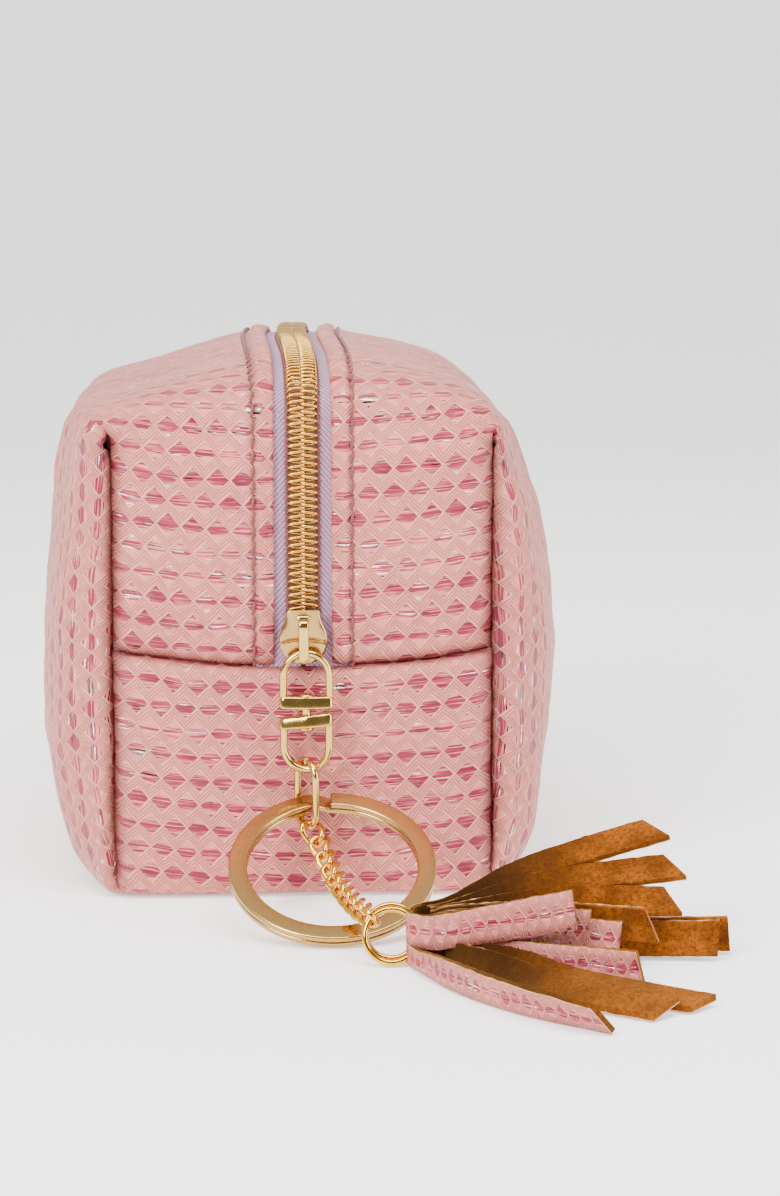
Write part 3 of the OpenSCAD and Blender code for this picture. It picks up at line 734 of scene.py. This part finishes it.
def lower_leather():
    """The lower flaps and the base between them, in one piece."""
    xs = np.linspace(-HALF_W + 0.5, HALF_W - 0.5, 91)
    lines = []
    for x in xs:
        seam = float(seam_height(x))
        front = np.array([[x, -HALF_L - 0.3, z] for z in np.linspace(seam, 0, 30)])
        base = np.array([[x, y, 0] for y in np.linspace(-HALF_L - 0.3, HALF_L + 0.3, 60)])
        line = np.vstack([front[:-1], base, (front[::-1] * [1, -1, 1])[1:]])
        lines.append(soften(resample(line, int(lengths(line)[-1] / 0.8)), 2.6, 0.8))
    count = max(len(line) for line in lines)
    p = np.array([resample(line, count) for line in lines])
    z0, x0 = p[..., 2].copy(), p[..., 0].copy()
    along = run_length(p, 1)
    n = -grid_normals(p)
    corner = HALF_W - 0.5 - np.abs(x0)
    up = smooth((z0 - 0.5) / 4)
    ends = np.minimum(along, along[:, -1:] - along)
    drop = np.maximum(round_over(corner, 2.8) * np.maximum(up, 0.35), round_over(ends, 0.9))
    rise = np.sin(math.pi * np.clip(z0 / SEAM_Z, 0, 1))
    puff = np.cos(x0 / HALF_W * math.pi / 2) ** 0.7 * rise ** 0.6
    hollow = 1 - np.exp(-((x0 - 3) / 15) ** 4)
    puff *= hollow
    waves = 0.35 * ripple(p, 25, 61) * hollow + 0.12 * ripple(p, 9, 62) * (0.3 + 0.7 * hollow)
    near = np.exp(-(corner / 4) ** 2) + 0.8 * np.exp(-(ends / 4) ** 2)
    waves += 0.28 * ripple(p, 5.5, 63) * near
    p = p + n * (puff + waves * up - drop)[..., None]
    p[..., 2] = np.maximum(p[..., 2], 0.02)
    p[..., 0] *= 1 - 0.02 * (1 - up)
    # painted shade mask along the corner seams and at the edge of the horizontal seam
    seam = np.exp(-(corner / 1.7) ** 2) * up + 0.6 * np.exp(-(ends / 0.35) ** 2)
    seam = np.pad(seam, HEM, "edge")
    p, uv = hem(p, np.stack([x0 + 60, along + 7], -1), n, ["u0", "u1", "v0", "v1"])
    p[..., 2] = np.maximum(p[..., 2], 0.02)
    return p, uv, seam


def lining(grid, sign):
    """A cloth skin just inside a piece of leather."""
    inner = grid[HEM:-HEM, HEM:-HEM][::3, ::3]
    return inner + sign * grid_normals(inner) * LEATHER_T


SIDES = ((1, "right"), (-1, "left"))
STITCH_X = box("topstitch_right")[0][0] + 0.2
LEATHER_T = 1.3
# A welt behind each corner seam keeps the inside from showing between the two pieces of leather; the welt
# is painted dark all over as shade
WELT_DEEP = 5.4
WELT_R = 1.7


def mirrored(p):
    return p * np.array([-1, 1, 1])


zip_lines = {}
for sign, word in SIDES:
    up_p, up_uv, up_seam_shade = upper_leather(sign)
    side_p, side_uv, side_seam_shade = side_leather(sign, up_p[-HEM - 1, HEM:-HEM])
    zip_lines[sign] = up_p[:, HEM:-HEM]
    parts = Parts()
    if sign < 0:
        up_p, side_p = mirrored(up_p), mirrored(side_p)
        up_uv = up_uv * [1, 1] + [3.1, 1.7]
        side_uv = side_uv + [1.3, 2.2]
    parts.add(up_p, up_uv, flip=sign < 0, seam=up_seam_shade)
    parts.add(side_p, side_uv, flip=sign < 0, seam=side_seam_shade)
    for face in (-1, 1):
        deep = face * (HALF_L - WELT_DEEP)
        bends = [(TUCK - 3.5, deep, FOLD_Z + 0.5), (TUCK - 0.3, deep, FOLD_Z - 3), (TUCK - 0.3, deep, 4)]
        path = resample(np.array(bends), 60)
        welt = tube(path * [sign, 1, 1], WELT_R, 12)
        # painted shade: the whole welt takes the dark seam colour
        parts.add(welt, wrap_v=True, caps=True, seam=np.ones(welt.shape[:2]))
    obj = parts.build(f"leather_{word}", [LEATHER])
    inner = Parts()
    inner.add(lining(up_p[UNDER:], -sign), flip=sign < 0)
    inner.add(lining(side_p, -sign), flip=sign < 0)
    cloth = inner.build(f"lining_{word}", [LINING])
    declare(cloth, "pouch", "lining_cloth")
    declare(obj, "pouch", "outer_leather", f"top_panel_{word}", f"side_panel_{word}",
            f"front_flap_{word}", f"back_flap_{word}")

low_p, low_uv, low_seam_shade = lower_leather()
lower = one_grid("leather_lower", [LEATHER], low_p, low_uv, flip=True, seam=low_seam_shade)
declare(lower, "pouch", "outer_leather", "front_flap_lower", "back_flap_lower", "base_panel")
cloth = one_grid("lining_lower", [LINING], lining(low_p, 1), flip=True)
declare(cloth, "pouch", "lining_cloth", *[n for n in frame["nodes"] if n.startswith("lining")])

# ---------------------------------------------------------------- zip

ZIP_LINE = (UPPERS[1][0] + resample(UPPERS[-1][0], UPPERS[1].shape[1])) / 2 * [0, 1, 1]
ZIP_LINE = resample(ZIP_LINE, 700)
ZIP_T = unit(np.gradient(ZIP_LINE, axis=0))
ZIP_N = np.cross(ZIP_T, [1, 0, 0]) * -1
if ZIP_N[0][1] > 0:
    ZIP_N = -ZIP_N
ZIP_AT = lengths(ZIP_LINE)


def on_zip(s, x, h):
    """A point at a length s along the zip, x across it and h above the leather."""
    s = np.asarray(s, float)
    c = at_length(s, ZIP_AT, ZIP_LINE)
    out = c + unit(at_length(s, ZIP_AT, ZIP_N)) * np.asarray(h, float)[..., None]
    out[..., 0] += x + zip_lean(c[..., 1])
    return out


for sign, word in SIDES:
    s = np.linspace(0.2, ZIP_AT[-1] - 0.2, 420)
    xs = np.linspace(0.35, 8.2, 14)
    S, X = np.meshgrid(s, xs, indexing="ij")
    drop = -1.25 - 0.25 * smooth((3.4 - X) / 1.5)
    p = on_zip(S, X * sign, drop)
    tape = one_grid(f"tape_{word}", [TAPE], p, np.stack([X, S], -1), flip=sign < 0)
    declare(tape, "pouch", "zip_tape", f"zip_tape_{word}")

COIL_PITCH = 1.17
for sign, word in SIDES:
    loops = int((ZIP_AT[-1] - 8) / COIL_PITCH)
    per = 22
    phi = np.linspace(0, 2 * math.pi * loops, loops * per)
    phi = phi + 0.35 * np.sin(2 * phi)
    s = 3.5 + COIL_PITCH * phi / (2 * math.pi) + (0 if sign > 0 else COIL_PITCH / 2)
    x = sign * (1.08 + 1.30 * np.sign(np.cos(phi)) * np.abs(np.cos(phi)) ** 0.85)
    h = -0.16 + 0.50 * np.sign(np.sin(phi)) * np.abs(np.sin(phi)) ** 0.75
    head = np.clip(-np.cos(phi), 0, 1) ** 3
    line = on_zip(s, x, h)
    parts = Parts()
    parts.add(tube(line, 0.25 + 0.10 * head, 8), wrap_v=True, caps=True)
    # the cord and the sewing that hold the coil down show between its loops; their brown colour also stands
    # as a painted reflection between the loops
    s2 = np.linspace(3, ZIP_AT[-1] - 5.2, 400)
    xs = np.array([-0.05, 0.4, 1.1, 1.8, 2.25, 2.4])
    hs = np.array([-0.62, -0.52, -0.48, -0.52, -0.8, -1.35])
    S, X = np.meshgrid(s2, xs, indexing="ij")
    parts.add(on_zip(S, X * sign, np.broadcast_to(hs, X.shape)), slot=1, flip=sign < 0)
    sew_x, sew_h = sign * np.array([2.42, 2.62, 2.84]), np.array([-0.75, -0.85, -1.15])
    for c in np.arange(3.2, ZIP_AT[-1] - 3.4, COIL_PITCH / 2):
        seg = on_zip([c - 0.28, c, c + 0.28], sew_x, sew_h)
        parts.add(tube(seg, 0.15, 5), slot=2, wrap_v=True)
    coil = parts.build(f"coil_{word}", [COIL, CORD_AND_PAINTED_REFLECTION, THREAD])
    declare(coil, "pouch", "coil_metal", f"zip_coil_{word}")

STITCH = 2.5          # from one stitch to the next
for sign, word in SIDES:
    parts = Parts()
    lines = zip_lines[sign]
    col = int(np.argmin(np.abs(UPPERS[sign][:, 0, 0] - STITCH_X))) + UNDER
    seam = lines[col] if sign > 0 else mirrored(lines[col])
    at = lengths(seam)
    normal = unit(np.cross(np.gradient(seam, axis=0), [1, 0, 0]))
    if normal[0][1] > 0:
        normal = -normal
    arch = np.sin(np.linspace(0, math.pi, 7)) * 0.30 + 0.06
    for k in range(int((at[-1] - 2) / STITCH)):
        a = 1.0 + k * STITCH
        qs = np.linspace(a, a + STITCH * 0.80, 7)
        seg = at_length(qs, at, seam) + unit(at_length(qs, at, normal)) * arch[:, None]
        seg[:, 0] += np.linspace(-0.16, 0.16, 7)
        parts.add(tube(seg, 0.24, 6), slot=0, wrap_v=True)
        needle = a + STITCH * 0.9
        c, n = at_length(needle, at, seam), unit(at_length(needle, at, normal))
        t = unit(at_length(needle + 0.1, at, seam) - c)
        # painted shade: a dark disc over each needle hole
        ring = [c + n * 0.03 + (t * math.cos(q) * 0.26 + np.array([1, 0, 0]) * math.sin(q) * 0.2)
                for q in np.linspace(0, 2 * math.pi, 9)[:-1]]
        parts.add(np.array([ring, [c + n * 0.02] * 8]), slot=1, wrap_v=True)
    thread = parts.build(f"stitches_{word}", [THREAD, NEEDLE_HOLE_SHADE])
    declare(thread, "pouch", "thread", f"topstitch_{word}")

# ---------------------------------------------------------------- slider

body = box("slider_body")
bail = box("slider_bail")
PLATE_Y = body[0][1]
half_width = through([(0.02, 0), (1.7, 0.35), (3.0, 1.25), (3.75, 2.6), (3.95, 4.3), (3.7, 5.7),
                      (3.15, 6.9), (2.85, 7.9), (2.75, 9.0)], 6)
rows = []
for w, z in half_width:
    q = circle(40)
    cx = np.sign(np.cos(q)) * np.abs(np.cos(q)) ** 0.45
    cy = np.sign(np.sin(q)) * np.abs(np.sin(q)) ** 0.6
    x = cx * w
    nose = smooth((4.7 - 0.05 * x * x - z) / 0.7)
    y = PLATE_Y + 0.62 - cy * 0.6 + np.where(cy > 0, 0.55 * nose, 0)
    rows.append(np.stack([x, y, np.full_like(x, body[0][2] + z)], 1))
parts = Parts()
parts.add(np.array(rows), wrap_v=True, caps=True, flip=True)
back_y = body[1][1]
rows = []
for w, z in half_width:
    q = circle(24)
    x = np.sign(np.cos(q)) * np.abs(np.cos(q)) ** 0.6 * w
    rows.append(np.stack([x, back_y - 0.45 - 0.45 * np.sin(q), np.full_like(x, body[0][2] + z)], 1))
parts.add(np.array(rows), wrap_v=True, caps=True, flip=True)
slider = parts.build("slider_plate", [GOLD_FLAT])
declare(slider, "slider", "gold_metal", "slider_body")

top_z, low_z, out_y = bail[1][2] - 0.3, bail[0][2] + 0.5, bail[0][1] + 0.5
arch = np.array([(0, y, z) for y, z in ((PLATE_Y + 0.4, top_z), (out_y, top_z), (out_y, low_z),
                                        (PLATE_Y + 0.4, low_z))], float)
arch = soften(resample(arch, 80), 0.55, lengths(arch)[-1] / 79)
across = np.tile([1.0, 0, 0], (len(arch), 1))
out = np.cross(unit(np.gradient(arch, axis=0)), across)
bail_grid = ribbed(rounded_rect(1.6, 0.95, 0.3), arch, across, out)
parts = Parts()
parts.add(bail_grid, wrap_v=True, caps=True)
foot = np.array([(-1.3, PLATE_Y - 0.1, top_z + 0.25), (1.3, PLATE_Y - 0.1, top_z + 0.25)], float)
foot_r = [0.2, 0.38, 0.42, 0.42, 0.42, 0.42, 0.38, 0.2]
parts.add(tube(resample(foot, 8), foot_r, 12), wrap_v=True, caps=True)
bail_obj = parts.build("slider_arch", [GOLD])
declare(bail_obj, "slider", "gold_metal", "slider_bail")

# ---------------------------------------------------------------- swivel

up_box = box("swivel_upper_loop")
WIRE = 1.25
loop_c = middle("swivel_upper_loop")
LOOP_W = up_box[1][0] - up_box[0][0]
LEG_X = (LOOP_W - WIRE) / 2
BAR_T = 2.0


def swivel_loop(height, cant=0.0, face=1):
    """One loop about the origin, its bar at the bottom, height high."""
    parts = Parts()
    leg = height - LEG_X - WIRE / 2
    a = np.linspace(0, math.pi, 34)
    bow = np.stack([LEG_X * np.cos(a), 0 * a, leg + LEG_X * np.sin(a)], 1)
    pts = np.vstack([[[LEG_X, 0, z] for z in np.linspace(BAR_T * 0.4, leg, 9)[:-1]], bow,
                     [[-LEG_X, 0, z] for z in np.linspace(leg, BAR_T * 0.4, 9)[1:]]])
    parts.add(tube(pts, WIRE / 2, 18, up=[0, 1, 0]), wrap_v=True, caps=True)
    xs = np.linspace(-1, 1, 33)
    rows = []
    for x in xs:
        end = (1 - abs(x) ** 9) ** 0.5
        deep = (2.2 + 0.6 * math.exp(-(x / 0.42) ** 2)) * (0.55 + 0.45 * end)
        tall = BAR_T * (0.72 + 0.28 * end)
        prof = rounded_rect(deep, tall, 0.28)
        rows.append([[x * LOOP_W / 2, py + pz * 0.2 * face, BAR_T / 2 + pz] for py, pz in prof])
    parts.add(np.array(rows), wrap_v=True, caps=True)
    for v in parts.verts:
        v[:, 2] += cant * v[:, 0] * np.exp(-np.maximum(v[:, 2], 0) / 5)
    return parts


def turned(parts, matrix, at):
    parts.verts = [v @ np.array(matrix).T + at for v in parts.verts]
    return parts


upper = turned(swivel_loop(up_box[1][2] - up_box[0][2]), np.eye(3), [loop_c[0], loop_c[1], up_box[0][2]])
upper = upper.build("swivel_top_loop", [GOLD])
declare(upper, "swivel_top", "gold_metal", "swivel_upper_loop")

down_box = box("swivel_lower_loop")
turn = math.radians(-12)
spin = np.array([[math.cos(turn), -math.sin(turn), 0], [math.sin(turn), math.cos(turn), 0], [0, 0, 1]])
flip = spin @ np.diag([1.0, 1.0, -1.0])
low_loop = swivel_loop(down_box[1][2] - down_box[0][2], -0.15, -1)
low_loop.faces = [f[::-1] for f in low_loop.faces]
low_loop = turned(low_loop, flip, [loop_c[0], loop_c[1], down_box[1][2]]).build("swivel_low_loop", [GOLD])
declare(low_loop, "swivel_bottom", "gold_metal", "swivel_lower_loop")

rivet = box("swivel_rivet")
z0, z1 = rivet[0][2], rivet[1][2]
shape = [(0.02, z0), (0.8, z0 + 0.02), (1.2, z0 + 0.25), (1.3, z0 + 0.6), (1.05, z0 + 0.85),
         (0.75, z0 + 0.95), (0.75, z1 - 0.75), (1.25, z1 - 0.6), (1.25, z1 - 0.3), (0.9, z1 - 0.05),
         (0.02, z1)]
q = circle(28)
lathe = np.array([[[r * math.cos(a) + loop_c[0], r * math.sin(a) + loop_c[1], z] for a in q]
                  for r, z in shape])
pin = one_grid("rivet", [GOLD], lathe, wrap_v=True, flip=True)
declare(pin, "swivel_top", "gold_metal", "swivel_rivet")

# ---------------------------------------------------------------- rings

jump = box("jump_ring")
JUMP_R = 0.60
turn = math.radians(30)
half = (jump[1][1] - jump[0][1] - 2 * JUMP_R) / 2 / math.cos(turn)
long = jump[1][2] - jump[0][2] - 2 * JUMP_R
a = circle(90) + math.radians(100)
ring_u = half * np.cos(a)
ring_z = half * np.sin(a) + np.sign(np.sin(a)) * (long / 2 - half) * smooth(np.abs(np.sin(a)) * 4)
centre = middle("jump_ring")
path = np.stack([-math.sin(turn) * ring_u, math.cos(turn) * ring_u, ring_z], 1) + centre
jump_obj = one_grid("jump_wire", [GOLD], tube(path[1:], JUMP_R, 16), wrap_v=True, caps=True)
declare(jump_obj, "jump_ring", "gold_metal", "jump_ring")

split = box("split_ring")
centre = middle("split_ring")
BAND, COIL_T = 3.0, 0.98
ring_r = (split[1][0] - split[0][0]) / 2
lean = math.radians(30)
tilt = np.array([[1, 0, 0], [0, math.cos(lean), -math.sin(lean)], [0, math.sin(lean), math.cos(lean)]])
turned_by = np.linspace(0, 344 + 344 + 16, 480)
turns = np.radians(90 - turned_by)
height = 0.54 - 1.08 * smooth((turned_by - 348) / 12)
mid = ring_r - BAND / 2
flat = np.stack([mid * np.cos(turns), mid * np.sin(turns), height], 1)
radial = np.stack([np.cos(turns), np.sin(turns), 0 * turns], 1)
prof = rounded_rect(BAND, COIL_T, 0.3, 5)
ringgrid = flat[:, None] + radial[:, None] * np.array(prof)[None, :, :1] \
    + np.array([0, 0, 1.0]) * np.array(prof)[None, :, 1:]
ring_obj = one_grid("key_ring", [GOLD_FLAT], ringgrid @ tilt.T + centre, wrap_v=True, caps=True)
declare(ring_obj, "split_ring", "gold_metal", "split_ring")

# ---------------------------------------------------------------- chain

joints = {j["child"]: j for j in frame["record"]["behaviour"]["joints"]}
links = len([n for n in frame["nodes"] if n.startswith("chain_link_")])
hooks = {i - 1: np.array(joints[f"link_{i}"]["pos_m"]) / MM for i in range(2, links + 1)}
hooks[0] = 2 * middle("chain_link_1") - hooks[1]
hooks[links] = 2 * middle(f"chain_link_{links}") - hooks[links - 1]
LINK_L, LINK_W, LINK_R = 5.6, 3.9, 0.475
for i in range(1, links + 1):
    a, b = hooks[i - 1], hooks[i]
    f = unit(b - a)
    side = unit(np.cross([0, 0, 1], f))
    up = np.cross(f, side)
    roll = math.radians(45 + 45 * (i - 1) / (links - 1))
    s2, u2 = side * math.cos(roll) + up * math.sin(roll), up * math.cos(roll) - side * math.sin(roll)
    q = circle(44)
    la, lb = (LINK_L - 2 * LINK_R) / 2, (LINK_W - 2 * LINK_R) / 2
    line = (a + b) / 2 + np.outer(la * np.cos(q), f) + np.outer(lb * np.sin(q), s2) \
        + np.outer(lb / 2 * np.sin(2 * q), u2)
    wire = tube(line, LINK_R, 12, closed=True)
    link = one_grid(f"curb_link_{i}", [CHAIN], wire, wrap_u=True, wrap_v=True)
    declare(link, f"link_{i}", "gold_metal", f"chain_link_{i}")

hoop = box("tassel_ring")
c = middle("tassel_ring")
r_wire = 0.7
r_mid = (hoop[1][0] - hoop[0][0]) / 2 - r_wire
lean = math.radians(20)
q = circle(80)
axis = np.array([0, -math.cos(lean), math.sin(lean)])
line = c + r_mid * np.stack([np.cos(q), np.sin(q) * math.sin(lean), np.sin(q) * math.cos(lean)], 1)
parts = Parts()
slope = np.array([0, math.sin(lean), math.cos(lean)])
for off in (-0.45, 0.45):
    parts.add(tube(line + axis * off - slope * off * 0.8, 0.5, 14, closed=True), wrap_u=True, wrap_v=True)
hoop_obj = parts.build("tassel_hoop", [CHAIN])
declare(hoop_obj, "tassel_ring", "gold_metal", "tassel_ring")

# ---------------------------------------------------------------- tassel

STRIP_T = 1.1


def strip(name, points, width_dirs, widths, pink_in_front, seed, nodes=(), skew=0.0):
    """A cut strip of leather: film on one side, suede on the other, and a pale line between them."""
    rng = np.random.default_rng(seed)
    path = resample(through(points, 20), 46)
    n = len(path)
    s = np.linspace(0, 1, n)
    f = unit(np.gradient(path, axis=0))
    keys = np.linspace(0, 1, len(width_dirs))
    w = np.stack([np.interp(s, keys, np.array(width_dirs, float)[:, k]) for k in range(3)], 1)
    w = unit(w - f * np.sum(w * f, 1, keepdims=True))
    nrm = np.cross(w, f)
    half = np.interp(s, np.linspace(0, 1, len(widths)), widths) / 2
    wave = np.array([0.10 * ripple(np.array([[x * 30, seed * 7.0, 0]]), 14, seed)[0] for x in s])
    path = path + nrm * wave[:, None]
    side = -1 if pink_in_front else 1                         # which side of nrm the film is on
    t = STRIP_T / 2
    edge = 0.10
    film = [(a, t, 0) for a in (-1, -0.5, 0, 0.5, 1)]
    nap = [(1, edge - t, 2)] + [(a, -t, 2) for a in (0.97, 0.5, 0, -0.5, -0.97)] + [(-1, edge - t, 2)]
    prof = film + [(1, t - 0.16, 1)] + nap + [(-1, t - 0.16, 1)]
    prof = [(a, side * b, kind) for a, b, kind in prof]
    m = len(prof)
    grid = np.zeros((n, m, 3))
    uv = np.zeros((n, m, 2))
    at = lengths(path)
    fuzz = rng.normal(0, 0.05, (n, m))
    for j, (a, b, _) in enumerate(prof):
        rough = fuzz[:, j] if abs(a) > 0.9 else 0
        late = smooth((s - 0.55) / 0.45) * skew * a
        grid[:, j] = path + w * ((a * half) + rough)[:, None] + nrm * b + f * late[:, None]
        uv[:, j] = np.stack([(at + late) * 1.95 + seed * 3.3, a * half * 1.05 + PATTERN * (seed + 0.5)], 1)
    grid[:, :, 2] += np.maximum(0, 0.03 - grid[:, :, 2].min(1))[:, None]      # rests on the floor
    faces, slots = [], []
    for i in range(n - 1):
        for j in range(m):
            k = (j + 1) % m
            q = (i * m + j, i * m + k, (i + 1) * m + k, (i + 1) * m + j)
            faces.append(q if side > 0 else q[::-1])
            kinds = {prof[j][2], prof[k][2]}
            slots.append(0 if kinds == {0} else (1 if kinds <= {0, 1} else 2))
    for i, back in ((0, False), (n - 1, True)):
        ids = [i * m + j for j in range(m)]
        inner = ids[:5] + [ids[5], ids[13]]
        outer = [ids[5]] + ids[6:13] + [ids[13]]
        for poly, slot in ((inner, 1), (outer, 2)):
            turn_it = back == (side > 0)
            faces.append(tuple(poly[::-1]) if turn_it else tuple(poly))
            slots.append(slot)
    obj = make_mesh(name, grid.reshape(-1, 3), faces, uv.reshape(-1, 2), [LEATHER, CREAM, SUEDE], slots)
    for p in obj.data.polygons:
        p.use_smooth = p.material_index == 0
    declare(obj, "tassel", "suede", *nodes)


fold = box("tassel_fold")
FX, FY = fold[0][0], (fold[0][1] + fold[1][1]) / 2
ROOT_X = FX + 8.1
FRONT, LAYER = fold[0][1] + STRIP_T / 2, STRIP_T + 0.2
UP = (0, 0, 1)


def lay(n):
    """The middle of the strip that is n layers behind the front one."""
    return FRONT + n * LAYER


NOSE = [(FX + 6.0, FY + 4.1), (FX + 2.2, FY + 3.4), (FX + 0.55, FY + 0.4), (FX + 1.4, FY - 2.9),
        (FX + 4.2, FY - 4.15)]
# Each strip's path, which way its width points, its width along the path, whether its film faces
# the camera, and how far its end is cut at a slant
STRIPS = {
    "front_high": ([(x, y, 6.0) for x, y in NOSE] + [(22, -94.2, 6.6), (31, -95.6, 8.4), (40, -98.3, 10.7)],
                   [UP, UP, UP, UP], [5.0, 4.6, 4.1, 5.0, 5.3, 5.4, 5.6, 5.8, 5.9, 6.0, 6.1], True, 0.3),
    "front_low": ([(x, y, 1.9) for x, y in NOSE[:3]] + [(FX + 1.2, FY - 3.8, 2.0),
                   (FX + 3.4, FY - 9.5, 2.3), (FX + 8.0, -107.5, 2.5), (30.0, -116.6, 2.5),
                   (41, -126.6, 2.5)], [UP, UP, (-0.2, -0.2, 0.9), (-0.35, -0.45, 0.8)],
                  [3.2, 3.0, 3.0, 4.0, 4.6, 4.9, 5.0, 5.0, 4.9], True, -0.9),
    "second_high": ([(FX + 4.2, lay(1), 6.0), (ROOT_X, lay(1), 6.7), (32, -93.1, 7.2), (42.5, -95.7, 7.1)],
                    [UP, UP, UP], [4.4, 5.2, 5.6], True, 0.3),
    "second_low": ([(ROOT_X - 2, lay(0) + 0.3, 2.3), (30, -103.5, 2.0), (40, -112, 1.7), (51, -119.2, 1.6)],
                   [UP, (0.3, 0.8, 0.3), (0.35, 0.85, 0.3)], [4.4, 5.4, 5.6], False, 0.8),
    "third_high": ([(FX + 4.2, lay(2), 5.9), (ROOT_X, lay(2), 6.6), (34, -92.1, 6.1), (47.5, -94, 4.8)],
                   [UP, UP, UP], [4.4, 5.0, 5.4], True, 0.0),
    "third_low": ([(ROOT_X - 2, lay(2), 2.3), (30, -94.3, 2.6), (39, -98.6, 2.8), (49.3, -104, 2.9)],
                  [UP, UP, (-0.15, 0, 1)], [4.3, 4.8, 5.4], True, -0.6),
    "fourth_high": ([(FX + 4.2, lay(3), 6.1), (ROOT_X, lay(3), 6.8), (36, -90.1, 7.2), (52.4, -93.2, 6.6)],
                    [UP, UP, (-0.36, 0, 0.93)], [4.4, 5.0, 5.2], False, -1.2),
    "fourth_low": ([(ROOT_X - 2, lay(1), 2.2), (32, -99.0, 1.7), (44, -107, 1.2), (57, -115.4, 1.15)],
                   [UP, (0.3, 0.85, 0.2), (0.3, 0.9, 0.12)], [4.4, 5.4, 5.6], False, 0.8),
    "fifth_high": ([(FX + 4.2, lay(4), 6.2), (ROOT_X, lay(4), 6.9), (38, -86.6, 8.6), (56.2, -89, 9.2)],
                   [UP, (-0.2, 0.5, 0.8), (-0.3, 0.75, 0.55)], [4.4, 4.8, 5.0], False, -1.4),
    "fifth_low": ([(FX + 3.0, lay(3.5), 2.3), (ROOT_X, lay(3.5), 2.3), (42, -88, 2.9), (63.2, -90, 3.6)],
                  [UP, UP, UP], [4.3, 5.2, 5.6], False, 0.2),
    "back_high": ([(FX + 3.8, lay(5), 6.2), (ROOT_X, lay(5), 7.2), (38, -83.8, 10.9), (57, -85, 13.6)],
                  [UP, (-0.2, 0.75, 0.62), (-0.3, 0.82, 0.5)], [4.3, 4.6, 5.0], False, -1.5),
    "back_low": ([(FX + 3.0, lay(5), 2.3), (ROOT_X, lay(5), 2.3), (42, -84.8, 2.9), (65.4, -86.3, 3.2)],
                 [UP, UP, UP], [4.3, 5.0, 5.4], False, -0.2),
    "rear": ([(FX + 3.0, lay(6) + 0.2, 6.2), (ROOT_X, lay(6) + 0.2, 7.6), (36, -80.6, 12.8),
              (54.6, -81, 18.6)],
             [UP, (-0.2, 0.8, 0.6), (-0.3, 0.85, 0.45)], [4.4, 4.6, 5.0], False, -1.6),
}
for k, (word, (points, dirs, widths, pink, skew)) in enumerate(STRIPS.items()):
    also = ["tassel_fold"] if word == "front_high" else []
    strip(f"strip_{word}", points, dirs, widths, pink, k + 1, [f"tassel_strip_{word}"] + also, skew)

# ---------------------------------------------------------------- stage, light and camera

floor_look = plain_look("pale_floor", (246, 245, 243), 0.85, 0.0, 0.02, 0.01)
glow = next(n for n in floor_look.node_tree.nodes if n.type == "BSDF_PRINCIPLED").inputs
glow["Emission Color"].default_value = (1, 1, 1, 1)
glow["Emission Strength"].default_value = 0.6
sweep = through([(-3500, 0), (-1500, 0), (300, 0), (900, 0), (1250, 130), (1400, 480), (1430, 1500),
                 (1430, 3000)], 12)
wide = np.linspace(-3500, 3500, 30)
rows = [[(x, y, z - 0.15) for y, z in sweep] for x in wide]
floor = one_grid("floor", [floor_look], np.array(rows))


CENTRE = (0.01, -0.04, 0.04)


def area_light(name, at, size, power):
    data = bpy.data.lights.new(name, "AREA")
    data.shape, data.size, data.size_y = "RECTANGLE", size[0], size[1]
    data.energy = power
    obj = bpy.data.objects.new(name, data)
    obj.location = at
    obj.rotation_mode = "QUATERNION"
    obj.rotation_quaternion = (Vector(CENTRE) - Vector(at)).to_track_quat("-Z", "Y")
    bpy.context.scene.collection.objects.link(obj)


area_light("key", (-0.50, -0.70, 0.55), (0.35, 0.45), 15)
area_light("fill", (0.75, -0.50, 0.30), (0.30, 0.60), 7)
area_light("top", (0.0, -0.34, 0.85), (0.8, 0.36), 12)

world = bpy.data.worlds.new("studio")
world.use_nodes = True
wt = world.node_tree
back = next(n for n in wt.nodes if n.type == "BACKGROUND")
way = wt.nodes.new("ShaderNodeTexCoord").outputs["Generated"]
split_way = wt.nodes.new("ShaderNodeSeparateXYZ")
wt.links.new(way, split_way.inputs[0])
dim = wt.nodes.new("ShaderNodeMapRange")
dim.interpolation_type = "SMOOTHSTEP"
wt.links.new(split_way.outputs[1], dim.inputs[0])
for socket, value in zip(dim.inputs[1:5], (-0.7, 0.2, 0.22, 1.25)):
    socket.default_value = value
back.inputs["Color"].default_value = (1, 1, 1, 1)
wt.links.new(dim.outputs[0], back.inputs["Strength"])
bpy.context.scene.world = world

CAMERA_AT = (-0.006, -0.510, 0.124)
CAMERA_AIM = (0.0143, -0.050, 0.0506)
cam_data = bpy.data.cameras.new("camera")
cam = bpy.data.objects.new("camera", cam_data)
cam.location = CAMERA_AT
cam.rotation_mode = "QUATERNION"
cam.rotation_quaternion = (Vector(CAMERA_AIM) - Vector(CAMERA_AT)).to_track_quat("-Z", "Y")
cam_data.sensor_width = 36
cam_data.lens = 85.24415
cam_data.clip_start, cam_data.clip_end = 0.01, 50
bpy.context.scene.collection.objects.link(cam)
bpy.context.scene.camera = cam
